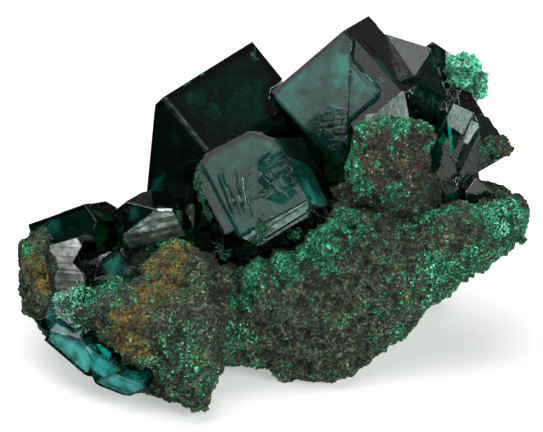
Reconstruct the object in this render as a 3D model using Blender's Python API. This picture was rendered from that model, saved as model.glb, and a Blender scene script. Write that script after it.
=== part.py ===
"""A dioptase specimen: dark emerald crystals grown on a loose lump of weathered ore matrix.

Metres, +Z up. The specimen rests on a flat cut at z = 0, its widest way lies along X, and the
side with the large crystals faces -Y. Lengths below are in millimetres and angles in degrees.
"""
import math
import random
from collections import namedtuple

import bmesh
import bpy
from mathutils import Matrix, Vector, noise
from mathutils.bvhtree import BVHTree

MM = 0.001

# Moves everything so that the middle of the specimen's box stands over the origin.
ORIGIN = Vector((-0.2, -0.7, 0.0))

# Two neighbouring pieces never touch: this much air is left between them.
GAP = 0.3

# Dioptase: three end faces lean this far from the long axis, every 120 degrees, and six
# prism faces stand between them, every 60 degrees, half-way round.
END_LEAN = 50.96
END_AZIMUTHS = (0, 120, 240)
PRISM_AZIMUTHS = (30, 90, 150, 210, 270, 330)

# A crystal's pole is the point where its three end faces would meet.
Crystal = namedtuple("Crystal", "pole lean_towards lean spin blocks chips", defaults=((),))
# ends: how far each end face lies inside the pole. prism: how far each prism face lies
# from the long axis, in the order of PRISM_AZIMUTHS. length: from the pole to the root.
Block = namedtuple("Block", "ends prism length")
# A broken face: how deep it lies under the pole, its lean from the long axis and which way.
Chip = namedtuple("Chip", "depth lean azimuth")
# A lump of rock before it is weathered: centre, half sizes, turn about X, Y and Z.
Chunk = namedtuple("Chunk", "centre half turn")
# A plane that takes off a side of the rock: a point on it and the way out.
Facet = namedtuple("Facet", "point normal")
# A groove that is pressed into the rock along a path.
Groove = namedtuple("Groove", "path width depth")
# A band of small crystals that grew on the rock between two points: how far they stray from
# the line, how many there are and their half width, smallest and largest.
Druse = namedtuple("Druse", "start end stray count half_width")

# A surface's colour in linear red, green and blue, and how rough and metallic it is.
Look = namedtuple("Look", "colour roughness metallic")

FLUSH = (0, 0, 0)
# A broken face lies this much deeper on each further block of a crystal.
CHIP_STEP = 0.05

BACK_LEFT = Crystal((-1.9, 12.0, 27.1), -30, 7, -98.2, (
    Block(FLUSH, (5.5, 6.0, 5.0, 5.0, 8.4, 7.6), 20),
))
CENTRE = Crystal((-0.5, -2.3, 23.9), -82.5, 12.8, -116.3, (
    Block(FLUSH, (6.25, 6.3, 5.6, 5.5, 5.0, 5.4), 15),
    Block((0.35, 0.6, 0.3), (5.5, 6.9, 5.0, 5.0, 5.3, 6.2), 14.5),
), (Chip(1.22, 30, 180),))
SUMMIT = Crystal((6.9, 7.6, 29.7), -114.3, 25.1, -108.9, (
    Block((0, 0.04, 0.02), (6.95, 0.9, 6.0, 6.1, 7.0, 7.1), 17),
    Block((0.03, 1.4, 0.06), (5.05, 3.8, 5.9, 6.0, 6.9, 6.9), 17.1),
    Block((0.5, 0, 0.09), (5.7, 6.2, 5.8, 5.9, 6.0, 6.0), 17.2),
    Block((2.2, 0.08, 0.5), (5.0, 9.2, 5.7, 5.8, 5.9, 5.9), 15),
))
SLAB = Crystal((11.3, 14.1, 27.2), 151.1, 23.1, -86.6, (
    Block(FLUSH, (3.65, 3.5, 3.0, 3.0, 3.0, 3.0), 10),
))
PRISM = Crystal((15.8, 14.8, 26.3), 175.7, 15.9, -104.8, (
    Block(FLUSH, (1.9, 1.4, 1.4, 2.0, 2.1, 2.1), 9),
), (Chip(0.3, 0, 0),))
WEDGE = Crystal((17.6, 8.6, 24.1), 146.5, 37.1, -122.7, (
    Block((0, 1.9, 0.1), (3.8, 2.3, 0.2, 3.0, 1.2, 5.6), 8.5),
    Block((0.35, 2.6, 0.2), (4.9, 2.4, 0.3, 3.1, 1.0, 5.5), 8.8),
    Block((0.05, 0.3, 0.05), (1.2, 1.7, 0.4, 3.2, 4.5, 6.5), 8.4),
))
LEFT_FRONT = Crystal((-11.3, -1.96, 18.2), -122, 33, -122, (
    Block(FLUSH, (2.0, 1.9, 1.1, 2.6, 3.0, 5.0), 9),
    Block((0.5, 0.9, 0.2), (1.0, 0.3, 1.0, 2.4, 4.4, 6.8), 9.2),
), (Chip(3.0, 35, 180),))
LEFT_EDGE = Crystal((-16.1, -0.1, 15.4), -105, 26, -137, (
    Block(FLUSH, (2.0, 0.3, 1.2, 2.4, 8.0, 7.5), 12),
    Block((0.6, 0.8, 0.5), (2.7, -1.0, 1.0, 2.2, 7.6, 7.0), 12.2),
), (Chip(2.2, 40, 150),))
POCKET_CUBE = Crystal((17.0, -1.5, 18.0), -100, 20, -120, (
    Block(FLUSH, (1.0, 0.9, 0.8, 0.8, 0.8, 0.9), 4),
))
POCKET_FLAT = Crystal((19.4, -0.6, 17.6), -60, 30, -60, (
    Block(FLUSH, (1.9, 1.6, 1.2, 1.2, 1.2, 1.7), 5),
))
TIP_NEAR = Crystal((23.3, 0.2, 13.4), -60, 45, -100, (
    Block(FLUSH, (1.3, 1.0, 1.0, 1.0, 1.0, 1.1), 4),
))
TIP_FAR = Crystal((24.6, 2.0, 13.2), 0, 55, -80, (
    Block(FLUSH, (1.2, 0.9, 0.9, 0.9, 0.9, 1.0), 4.5),
))
SMALL_LEFT = Crystal((-10.7, 3.0, 15.0), -80, 15, -110, (
    Block(FLUSH, (1.4, 1.2, 1.2, 1.2, 1.3, 1.4), 6),
))
BACK_LOW_LEFT = Crystal((-12.5, 9.8, 11.8), 120, 28, 10, (
    Block(FLUSH, (2.6, 2.4, 2.6, 2.2, 2.4, 2.6), 8),
    Block((0.7, 0.5, 0.9), (3.3, 1.6, 2.0, 1.8, 3.0, 1.9), 8.2),
))
BACK_MIDDLE = Crystal((2.6, 15.2, 17.6), 95, 35, 70, (
    Block(FLUSH, (3.0, 3.2, 2.8, 2.6, 2.6, 2.9), 9),
    Block((0.6, 0.9, 0.5), (2.2, 3.9, 2.2, 2.0, 3.3, 2.2), 9.2),
))
BACK_RIGHT = Crystal((14.8, 12.6, 15.2), 60, 50, 40, (
    Block(FLUSH, (2.2, 2.5, 2.1, 2.0, 2.0, 2.3), 7.5),
))

# The cluster of small blocks under the crystal at the left edge, and the crystals whose
# broken undersides make the rim below it.
LEFT_CLUSTER = (
    Crystal((-16.3, -6.0, 11.8), -100, 30, -120, (Block(FLUSH, (1.7, 1.6, 1.7, 1.5, 1.5, 1.6), 5),)),
    Crystal((-14.2, -6.3, 12.6), -70, 22, -95, (Block(FLUSH, (1.5, 1.7, 1.4, 1.5, 1.6, 1.5), 5),)),
    Crystal((-15.2, -7.9, 10.3), -95, 50, -130, (Block(FLUSH, (1.8, 1.5, 1.6, 1.4, 1.6, 1.7), 5),)),
    Crystal((-12.7, -7.4, 11.3), -60, 35, -80, (Block(FLUSH, (1.3, 1.4, 1.3, 1.3, 1.2, 1.4), 4.5),)),
)
LEFT_RIM = (
    Chunk((-18.7, -8.5, 6.4), (2.6, 1.8, 1.8), (10, 30, -37)),
    Chunk((-17.0, -10.4, 4.8), (3.4, 1.9, 1.8), (-15, 24, -37)),
    Chunk((-14.2, -12.8, 3.3), (3.6, 1.7, 1.5), (15, 18, -34)),
)

MATRIX = (
    Chunk((-9.8, -7.4, 5.2), (6.6, 5.6, 6.2), (0, -28, 18)),
    Chunk((-16.2, -5.6, 4.4), (6.8, 5.4, 4.4), (0, 8, 30)),
    Chunk((-21.8, -0.8, 8.0), (2.4, 4.8, 4.4), (0, -14, 0)),
    Chunk((-14.0, 3.0, 5.6), (9.0, 5.6, 5.6), (0, 0, 0)),
    Chunk((-10.6, -12.0, 4.8), (6.2, 6.6, 5.6), (10, 0, -15)),
    Chunk((0.2, -3.4, 6.0), (8.0, 7.0, 6.4), (0, -2, 0)),
    Chunk((8.6, -1.2, 7.2), (7.6, 6.4, 8.2), (0, 0, 0)),
    Chunk((5.0, -4.8, 3.0), (5.2, 4.0, 4.6), (0, 0, 10)),
    Chunk((15.6, -0.4, 10.8), (8.6, 5.8, 4.6), (0, -8, 6)),
    Chunk((21.0, 1.2, 11.4), (4.2, 4.0, 3.0), (0, 14, 12)),
    Chunk((-1.5, 10.0, 6.2), (9.8, 7.2, 6.6), (0, 0, -6)),
    Chunk((-9.0, 6.0, 4.4), (7.0, 6.0, 4.8), (0, 0, 10)),
    Chunk((10.4, 9.2, 8.8), (8.0, 6.6, 7.6), (0, 0, 0)),
)
# The underside of the right wing, which lifts away from the ground, and the broken face at
# the lower left that the clear rim grew on.
MATRIX_FACETS = (
    Facet((9.9, -7.0, 1.6), (0.653, -0.284, -0.702)),
    Facet((-16.3, -11.0, 5.0), (-0.597, -0.63, -0.497)),
)
# Hollows in the rock: the open pocket in front of the crystal at the left edge.
MATRIX_HOLLOWS = (
    Chunk((-16.9, -1.4, 11.6), (4.4, 4.6, 5.0), (-14, 0, 8)),
)
# The deep cleft between the left block and the main mass.
CLEFT = Groove(((-6.6, -3.0, 15.5), (-5.0, -7.5, 12.0), (-3.6, -10.5, 8.6), (-6.5, -14.5, 5.8)), 1.8, 2.6)
# Small crystals along the rims of the rock, on the left foot and over the back.
DRUSE = (
    Druse((-3.0, -9.0, 11.4), (4.5, -8.2, 13.6), 1.2, 11, (0.4, 0.8)),
    Druse((4.5, -6.9, 15.0), (10.0, -6.2, 15.4), 1.0, 7, (0.4, 0.8)),
    Druse((12.5, -5.4, 15.0), (23.6, -2.6, 13.8), 1.4, 11, (0.4, 0.8)),
    Druse((-5.8, -16.6, 8.0), (-9.4, -18.0, 3.6), 1.6, 8, (0.4, 0.8)),
    Druse((-20.6, -6.0, 10.0), (-14.6, -9.8, 9.6), 1.0, 7, (0.4, 0.7)),
    Druse((-14.0, 6.8, 9.0), (-6.0, 13.0, 10.0), 1.8, 6, (0.5, 1.1)),
    Druse((2.0, 15.6, 11.0), (14.0, 14.0, 12.0), 2.4, 10, (0.5, 1.2)),
    Druse((19.0, 8.0, 13.0), (23.0, 4.5, 12.0), 1.4, 5, (0.4, 0.8)),
)
# A small crystal's length and how far its pole stands above the rock, per half width.
DRUSE_LENGTH = 3.2
DRUSE_STAND = 1.5
PERCHED_LUMP = (
    Chunk((11.6, -1.5, 21.3), (3.9, 2.4, 2.9), (8, 0, 0)),
    Chunk((10.3, -1.9, 18.8), (3.9, 2.3, 3.1), (0, 12, 0)),
)
RIGHT_LUMP = (
    Chunk((21.0, 3.0, 18.8), (1.8, 2.0, 1.9), (0, 30, 0)),
)
TOP_KNOB = (
    Chunk((18.9, 12.2, 24.6), (1.8, 1.9, 1.4), (0, 20, 0)),
    Chunk((19.5, 11.8, 22.8), (1.5, 1.8, 1.6), (0, 0, 30)),
)

DARK_DIOPTASE = Look((0.010, 0.070, 0.050), 0.12, 0.0)
BRIGHT_DIOPTASE = Look((0.020, 0.300, 0.230), 0.18, 0.0)
GREEN_CRUST = Look((0.050, 0.190, 0.130), 0.60, 0.0)
WEATHERED_ORE = Look((0.090, 0.080, 0.058), 0.85, 0.0)

# The rock is first rounded on a grid this fine and then roughened.
ROCK_GRID = 0.75
ROUGH_HEIGHT = 1.1
ROUGH_SIZE = 4.2
# The share of the grid's faces that stays in the rough solid.
MATRIX_SHARE = 0.21
LUMP_SHARE = 0.34
# The rock reaches below this height before it is cut off flat.
CUT_HEIGHT = 0.0


def face_outward(mesh):
    bmesh.ops.recalc_face_normals(mesh, faces=mesh.faces)
    if mesh.calc_volume(signed=True) < 0:
        bmesh.ops.reverse_faces(mesh, faces=mesh.faces)


def new_object(name, mesh):
    """A bmesh in metres becomes an object that stands at the origin."""
    data = bpy.data.meshes.new(name)
    face_outward(mesh)
    mesh.to_mesh(data)
    mesh.free()
    item = bpy.data.objects.new(name, data)
    bpy.context.scene.collection.objects.link(item)
    return item


def remove_object(item):
    data = item.data
    bpy.data.objects.remove(item, do_unlink=True)
    bpy.data.meshes.remove(data)


def slice_off(mesh, point, normal):
    """Cut a closed bmesh by a plane, drop what lies on the normal's side and close the cut."""
    geometry = mesh.verts[:] + mesh.edges[:] + mesh.faces[:]
    cut = bmesh.ops.bisect_plane(
        mesh, geom=geometry, dist=1e-8, plane_co=point, plane_no=normal, clear_outer=True)
    rim = [part for part in cut["geom_cut"] if isinstance(part, bmesh.types.BMEdge)]
    bmesh.ops.holes_fill(mesh, edges=rim, sides=0)


def apply_modifier(item, kind, **settings):
    """Give an object one modifier and keep its result for good."""
    modifier = item.modifiers.new("step", kind)
    for name, value in settings.items():
        setattr(modifier, name, value)
    graph = bpy.context.evaluated_depsgraph_get()
    result = bpy.data.meshes.new_from_object(item.evaluated_get(graph))
    item.modifiers.clear()
    before = item.data
    item.data = result
    bpy.data.meshes.remove(before)


def boolean(item, other, operation):
    """Combine two closed objects: the first keeps the result."""
    apply_modifier(item, "BOOLEAN", operation=operation, solver="EXACT", object=other)


def box_of(item, margin=0.0):
    corners = [vertex.co for vertex in item.data.vertices]
    low = [min(corner[axis] for corner in corners) - margin for axis in range(3)]
    high = [max(corner[axis] for corner in corners) + margin for axis in range(3)]
    return low, high


def boxes_meet(item, other):
    low, high = box_of(item)
    other_low, other_high = box_of(other)
    return all(low[axis] < other_high[axis] and other_low[axis] < high[axis] for axis in range(3))


def leaning(lean, azimuth):
    """A unit vector that leans from +Z towards an azimuth."""
    lean, azimuth = math.radians(lean), math.radians(azimuth)
    return Vector((math.sin(lean) * math.cos(azimuth), math.sin(lean) * math.sin(azimuth),
                   math.cos(lean)))


def crystal_place(crystal):
    """The crystal's own frame: its pole at the origin and its long axis along +Z."""
    towards = math.radians(crystal.lean_towards)
    lean = math.radians(crystal.lean)
    spin = math.radians(crystal.spin) - towards
    turn = (Matrix.Rotation(towards, 4, "Z") @ Matrix.Rotation(lean, 4, "Y")
            @ Matrix.Rotation(spin, 4, "Z"))
    return Matrix.Translation((Vector(crystal.pole) + ORIGIN) * MM) @ turn


def crystal_block(name, crystal, block, grow, step=0.0):
    """One block of a crystal: a bar with prism sides, end faces and broken faces."""
    mesh = bmesh.new()
    bmesh.ops.create_cube(mesh, size=6 * block.length * MM)
    for azimuth, distance in zip(PRISM_AZIMUTHS, block.prism):
        normal = leaning(90, azimuth)
        slice_off(mesh, normal * (distance + grow) * MM, normal)
    for azimuth, inside in zip(END_AZIMUTHS, block.ends):
        normal = leaning(END_LEAN, azimuth)
        slice_off(mesh, normal * (grow - inside) * MM, normal)
    for chip in crystal.chips:
        normal = leaning(chip.lean, chip.azimuth)
        slice_off(mesh, normal * (grow - chip.depth - step) * MM, normal)
    root = Vector((0, 0, -1))
    slice_off(mesh, root * (block.length + grow) * MM, root)
    mesh.transform(crystal_place(crystal))
    return new_object(name, mesh)


def crystals(name, members, grow=0.0):
    """Parallel blocks and intergrown crystals, united in one closed solid."""
    solid = None
    for crystal in members:
        for index, block in enumerate(crystal.blocks):
            part = crystal_block(name, crystal, block, grow, index * CHIP_STEP)
            if solid is None:
                solid = part
            else:
                boolean(solid, part, "UNION")
                remove_object(part)
    return solid


def random_direction(dice):
    direction = Vector((dice.gauss(0, 1), dice.gauss(0, 1), dice.gauss(0, 1)))
    return direction.normalized()


def chunk_mesh(chunk, dice, cuts, grow=0.0):
    """A box with its corners and edges broken off by planes that miss its middle."""
    mesh = bmesh.new()
    bmesh.ops.create_cube(mesh, size=2)
    bmesh.ops.scale(mesh, vec=(Vector(chunk.half) + Vector((grow, grow, grow))) * MM, verts=mesh.verts)
    for _ in range(cuts):
        normal = random_direction(dice)
        reach = math.sqrt(sum((normal[axis] * chunk.half[axis]) ** 2 for axis in range(3)))
        depth = reach * dice.uniform(0.86, 1.08) + grow
        slice_off(mesh, normal * depth * MM, normal)
    turn = Matrix.Identity(4)
    for axis, angle in zip("XYZ", chunk.turn):
        turn = Matrix.Rotation(math.radians(angle), 4, axis) @ turn
    mesh.transform(Matrix.Translation((Vector(chunk.centre) + ORIGIN) * MM) @ turn)
    return mesh


def shards(name, chunks, seed, grow=0.0):
    """Broken lumps of clear crystal, united in one closed solid with flat faces."""
    dice = random.Random(seed)
    solid = None
    for chunk in chunks:
        part = new_object(name, chunk_mesh(chunk, dice, 12, grow))
        if solid is None:
            solid = part
        else:
            boolean(solid, part, "UNION")
            remove_object(part)
    return solid


def roughness_at(point):
    """How far the weathered rock stands out or lies in at a point, in millimetres."""
    coarse = noise.fractal(point / ROUGH_SIZE, 0.6, 2.1, 4)
    ridge = 0.5 - abs(noise.noise(point / (ROUGH_SIZE * 0.8) + Vector((7, 3, 5))))
    return ROUGH_HEIGHT * (0.75 * coarse + 0.5 * ridge - 0.2)


def press_groove(mesh, groove):
    """Push the rock in along a path, deepest at its middle line."""
    path = [(Vector(point) + ORIGIN) * MM for point in groove.path]
    for vertex in mesh.verts:
        away = min((vertex.co - closest_on(vertex.co, start, end)).length
                   for start, end in zip(path, path[1:]))
        inside = 1 - away / (groove.width * MM)
        if inside > 0:
            vertex.co -= vertex.normal * groove.depth * MM * math.sin(inside * math.pi / 2)


def closest_on(point, start, end):
    span = end - start
    share = max(0.0, min(1.0, (point - start).dot(span) / span.length_squared))
    return start + span * share


def rock(name, chunks, seed, share, facets=(), hollows=(), grooves=()):
    """Broken lumps melted into one, roughened, thinned to a few faces and cut flat below."""
    dice = random.Random(seed)
    mesh = bmesh.new()
    for chunk in chunks:
        part = chunk_mesh(chunk, dice, 10)
        for facet in facets:
            slice_off(part, (Vector(facet.point) + ORIGIN) * MM, Vector(facet.normal))
        face_outward(part)
        loose = bpy.data.meshes.new("loose")
        part.to_mesh(loose)
        part.free()
        mesh.from_mesh(loose)
        bpy.data.meshes.remove(loose)
    item = new_object(name, mesh)
    apply_modifier(item, "REMESH", mode="VOXEL", voxel_size=ROCK_GRID * MM, adaptivity=0.0)
    for hollow in hollows:
        cutter = new_object("hollow", chunk_mesh(hollow, dice, 10))
        boolean(item, cutter, "DIFFERENCE")
        remove_object(cutter)
    mesh = bmesh.new()
    mesh.from_mesh(item.data)
    for groove in grooves:
        press_groove(mesh, groove)
    mesh.normal_update()
    for vertex in mesh.verts:
        vertex.co += vertex.normal * roughness_at(vertex.co / MM) * MM
    mesh.to_mesh(item.data)
    mesh.free()
    apply_modifier(item, "REMESH", mode="VOXEL", voxel_size=ROCK_GRID * MM, adaptivity=0.0)
    apply_modifier(item, "DECIMATE", ratio=share, use_collapse_triangulate=True)
    mesh = bmesh.new()
    mesh.from_mesh(item.data)
    remove_object(item)
    slice_off(mesh, Vector((0, 0, CUT_HEIGHT * MM)), Vector((0, 0, -1)))
    bmesh.ops.triangulate(mesh, faces=mesh.faces)
    return new_object(name, mesh)


def grow_druse(item, bands, seed):
    """Small crystals stand out of the rock, each one part of it."""
    dice = random.Random(seed)
    mesh = bmesh.new()
    mesh.from_mesh(item.data)
    surface = BVHTree.FromBMesh(mesh)
    mesh.free()
    for band in bands:
        for _ in range(band.count):
            point = Vector(band.start).lerp(Vector(band.end), dice.random())
            point += random_direction(dice) * dice.uniform(0, band.stray)
            foot, normal, _, _ = surface.find_nearest((point + ORIGIN) * MM)
            towards = (normal + random_direction(dice) * 0.6 + Vector((0, 0, 0.3))).normalized()
            half = dice.uniform(*band.half_width)
            pole = foot / MM - ORIGIN + towards * half * DRUSE_STAND
            sides = tuple(half * dice.uniform(0.85, 1.15) for _ in PRISM_AZIMUTHS)
            grown = Crystal(
                pole, math.degrees(math.atan2(towards.y, towards.x)), math.degrees(math.acos(towards.z)),
                dice.uniform(0, 360), (Block(FLUSH, sides, half * DRUSE_LENGTH),))
            part = crystal_block("druse", grown, grown.blocks[0], 0.0)
            boolean(item, part, "UNION")
            remove_object(part)


def grow_by_air(item):
    """A cutter that leaves the gap all round a rock's copy."""
    cutter = item.copy()
    cutter.data = item.data.copy()
    bpy.context.scene.collection.objects.link(cutter)
    mesh = bmesh.new()
    mesh.from_mesh(cutter.data)
    mesh.normal_update()
    for vertex in mesh.verts:
        vertex.co += vertex.normal * vertex.calc_shell_factor() * GAP * MM
    mesh.to_mesh(cutter.data)
    mesh.free()
    return cutter


def keep_largest_body(item):
    """Drop the crumbs that a cut has left loose."""
    mesh = bmesh.new()
    mesh.from_mesh(item.data)
    waiting = set(mesh.verts)
    bodies = []
    while waiting:
        body = set()
        front = [waiting.pop()]
        while front:
            vertex = front.pop()
            body.add(vertex)
            for edge in vertex.link_edges:
                other = edge.other_vert(vertex)
                if other in waiting:
                    waiting.discard(other)
                    front.append(other)
        bodies.append(body)
    bodies.sort(key=len)
    for body in bodies[:-1]:
        bmesh.ops.delete(mesh, geom=list(body), context="VERTS")
    mesh.to_mesh(item.data)
    mesh.free()


def paint(item, look):
    """Give a piece a surface of its own."""
    material = bpy.data.materials.new(item.name)
    material.use_nodes = True
    shader = material.node_tree.nodes["Principled BSDF"]
    shader.inputs["Base Color"].default_value = (*look.colour, 1.0)
    shader.inputs["Roughness"].default_value = look.roughness
    shader.inputs["Metallic"].default_value = look.metallic
    item.data.materials.clear()
    item.data.materials.append(material)
    for face in item.data.polygons:
        face.material_index = 0


def main():
    for item in list(bpy.data.objects):
        bpy.data.objects.remove(item, do_unlink=True)
    cutters = []

    def settle(item, cutter, look):
        """A new piece gives way to the ones before it, and later ones give way to it."""
        for other in cutters:
            if boxes_meet(item, other):
                boolean(item, other, "DIFFERENCE")
        keep_largest_body(item)
        paint(item, look)
        if cutter is not None:
            cutters.append(cutter)

    grown = (
        ("crystal_group_summit", (SUMMIT, SLAB, PRISM, WEDGE)),
        ("crystal_centre", (CENTRE,)),
        ("crystal_back_left", (BACK_LEFT,)),
        ("crystal_left_front", (LEFT_FRONT,)),
        ("crystal_left_edge", (LEFT_EDGE,)),
        ("crystal_cluster_left", LEFT_CLUSTER),
        ("crystal_small_left", (SMALL_LEFT,)),
        ("crystal_pocket_cube", (POCKET_CUBE,)),
        ("crystal_pocket_flat", (POCKET_FLAT,)),
        ("crystal_tip_near", (TIP_NEAR,)),
        ("crystal_tip_far", (TIP_FAR,)),
        ("crystal_back_low_left", (BACK_LOW_LEFT,)),
        ("crystal_back_middle", (BACK_MIDDLE,)),
        ("crystal_back_right", (BACK_RIGHT,)),
    )
    for name, members in grown:
        settle(crystals(name, members), crystals(name + "_air", members, GAP), DARK_DIOPTASE)
    rim_air = shards("crystal_rim_left_air", LEFT_RIM, 5, GAP)
    settle(shards("crystal_rim_left", LEFT_RIM, 5), rim_air, BRIGHT_DIOPTASE)
    lumps = (
        ("matrix_lump_perched", PERCHED_LUMP, 3, WEATHERED_ORE),
        ("matrix_lump_right", RIGHT_LUMP, 4, WEATHERED_ORE),
        ("druse_knob_top", TOP_KNOB, 6, GREEN_CRUST),
    )
    for name, chunks, seed, look in lumps:
        lump = rock(name, chunks, seed, LUMP_SHARE)
        air = grow_by_air(lump)
        settle(lump, air, look)
    matrix = rock("matrix", MATRIX, 2, MATRIX_SHARE, MATRIX_FACETS, MATRIX_HOLLOWS, (CLEFT,))
    grow_druse(matrix, DRUSE, 8)
    settle(matrix, None, WEATHERED_ORE)
    for cutter in cutters:
        remove_object(cutter)


main()
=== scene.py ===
import math
import random

import bmesh
import bpy
from mathutils import Matrix, Vector, noise
from mathutils.bvhtree import BVHTree


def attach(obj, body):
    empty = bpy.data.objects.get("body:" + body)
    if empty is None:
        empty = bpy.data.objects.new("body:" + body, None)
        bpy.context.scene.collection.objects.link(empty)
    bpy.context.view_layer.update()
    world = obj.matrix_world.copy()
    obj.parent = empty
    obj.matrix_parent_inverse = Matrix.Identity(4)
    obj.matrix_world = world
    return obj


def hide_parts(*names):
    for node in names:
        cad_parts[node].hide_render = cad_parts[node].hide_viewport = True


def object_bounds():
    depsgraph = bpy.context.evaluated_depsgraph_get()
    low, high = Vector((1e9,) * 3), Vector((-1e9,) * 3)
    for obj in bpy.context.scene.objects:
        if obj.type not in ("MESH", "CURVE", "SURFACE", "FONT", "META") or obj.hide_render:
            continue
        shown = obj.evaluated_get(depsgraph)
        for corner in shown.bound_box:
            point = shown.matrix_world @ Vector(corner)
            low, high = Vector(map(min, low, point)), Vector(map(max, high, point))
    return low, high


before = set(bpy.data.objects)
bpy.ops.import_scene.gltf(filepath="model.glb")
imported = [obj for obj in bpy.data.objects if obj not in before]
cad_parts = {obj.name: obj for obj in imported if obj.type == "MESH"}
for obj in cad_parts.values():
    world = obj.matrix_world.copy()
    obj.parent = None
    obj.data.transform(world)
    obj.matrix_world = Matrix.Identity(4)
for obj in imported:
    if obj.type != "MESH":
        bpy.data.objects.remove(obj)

CAD_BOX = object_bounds()
MM = 0.001
# Points named in millimetres below are counted from here, as in the part's source.
ORIGIN = Vector((-0.2, -0.7, 0.0))

BIG_CRYSTALS = ("crystal_group_summit", "crystal_centre", "crystal_back_left", "crystal_left_front",
                "crystal_left_edge")
SMALL_CRYSTALS = ("crystal_cluster_left", "crystal_small_left", "crystal_pocket_cube", "crystal_pocket_flat",
                  "crystal_tip_near", "crystal_tip_far", "crystal_back_low_left", "crystal_back_middle",
                  "crystal_back_right")
# Two faces that meet at less than this angle, in degrees, are one flat face.
FLAT = 0.3


def place(x, y, z):
    """A point in millimetres, in the specimen's own frame, as a point in metres."""
    return (Vector((x, y, z)) + ORIGIN) * MM


def linear(hex_colour):
    """An sRGB hex colour as linear red, green, blue and alpha."""
    shares = [int(hex_colour[start:start + 2], 16) / 255 for start in (1, 3, 5)]
    return [share / 12.92 if share <= 0.04045 else ((share + 0.055) / 1.055) ** 2.4 for share in shares] + [1.0]


def add_node(tree, kind, inputs=None, stops=(), **settings):
    """Add a node with its settings and links. A ramp's stops are hard steps from colour to colour."""
    made = tree.nodes.new(kind)
    for name, value in settings.items():
        setattr(made, name, value)
    for name, value in (inputs or {}).items():
        if isinstance(value, bpy.types.NodeSocket):
            tree.links.new(value, made.inputs[name])
        else:
            made.inputs[name].default_value = value
    if stops:
        ramp = made.color_ramp
        ramp.interpolation = "CONSTANT"
        ramp.elements.remove(ramp.elements[1])
        ramp.elements[0].color = linear(stops[0][1])
        for start, colour in stops[1:]:
            ramp.elements.new(start).color = linear(colour)
    return made


def new_material(name):
    material = bpy.data.materials.new(name)
    material.use_nodes = True
    material.node_tree.nodes.clear()
    return material, material.node_tree


def dioptase(name, absorb, density, roughness):
    """Dioptase, grown with glassy flat faces: clear, dark emerald, and black where it is thick."""
    material, tree = new_material(name)
    where = add_node(tree, "ShaderNodeTexCoord").outputs["Object"]
    ripple = add_node(tree, "ShaderNodeTexNoise", {"Vector": where, "Scale": 420.0, "Detail": 4.0})
    pits = add_node(tree, "ShaderNodeTexNoise", {"Vector": where, "Scale": 3200.0, "Detail": 3.0})
    height = add_node(tree, "ShaderNodeMath", {
        0: ripple.outputs["Fac"], 1: pits.outputs["Fac"]}, operation="ADD")
    bump = add_node(tree, "ShaderNodeBump", {"Height": height.outputs[0], "Strength": 0.2, "Distance": 0.00001})
    dull = add_node(tree, "ShaderNodeMapRange", {
        "Value": pits.outputs["Fac"], "From Min": 0.5, "From Max": 0.75,
        "To Min": roughness, "To Max": roughness + 0.12})
    shader = add_node(tree, "ShaderNodeBsdfPrincipled", {
        "Base Color": (1.0, 1.0, 1.0, 1.0), "Transmission Weight": 1.0, "IOR": 1.67,
        "Roughness": dull.outputs[0], "Normal": bump.outputs[0]})
    volume = add_node(tree, "ShaderNodeVolumeAbsorption", {"Color": absorb, "Density": density})
    out = add_node(tree, "ShaderNodeOutputMaterial", {"Surface": shader.outputs[0]})
    tree.links.new(volume.outputs[0], out.inputs["Volume"])
    return material


def healed_fracture():
    """The inner walls of healed cracks: they throw light back through the green."""
    material, tree = new_material("healed_fracture")
    where = add_node(tree, "ShaderNodeTexCoord").outputs["Object"]
    mottle = add_node(tree, "ShaderNodeTexNoise", {"Vector": where, "Scale": 2500.0})
    colour = add_node(tree, "ShaderNodeMix", {
        "Factor": mottle.outputs["Fac"], "A": linear("#b8e8dc"), "B": linear("#f4fffa")}, data_type="RGBA")
    shader = add_node(tree, "ShaderNodeBsdfPrincipled", {
        "Base Color": colour.outputs["Result"], "Roughness": 0.5, "IOR": 1.5})
    add_node(tree, "ShaderNodeOutputMaterial", {"Surface": shader.outputs[0]})
    return material


def cloudy_zone():
    """A growth zone inside a crystal: clear where its haze attribute is low, so that it stays black there,
    and full of specks too fine to see where it is high, which shows as a deep teal cloud."""
    material, tree = new_material("cloudy_zone")
    where = add_node(tree, "ShaderNodeTexCoord").outputs["Object"]
    haze = add_node(tree, "ShaderNodeAttribute", attribute_name="haze").outputs["Fac"]
    wisp = add_node(tree, "ShaderNodeTexNoise", {"Vector": where, "Scale": 900.0, "Detail": 6.0})
    share = add_node(tree, "ShaderNodeMapRange", {
        "Value": wisp.outputs["Fac"], "From Min": 0.3, "From Max": 0.7, "To Min": 0.6, "To Max": 1.3})
    amount = add_node(tree, "ShaderNodeMath", {0: haze, 1: share.outputs[0]}, operation="MULTIPLY")
    colour = add_node(tree, "ShaderNodeMix", {
        "Factor": amount.outputs[0], "A": linear("#050606"), "B": linear("#f2fffb")}, data_type="RGBA")
    shader = add_node(tree, "ShaderNodeBsdfPrincipled", {
        "Base Color": colour.outputs["Result"], "Roughness": 0.9, "IOR": 1.5})
    add_node(tree, "ShaderNodeOutputMaterial", {"Surface": shader.outputs[0]})
    return material


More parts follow.
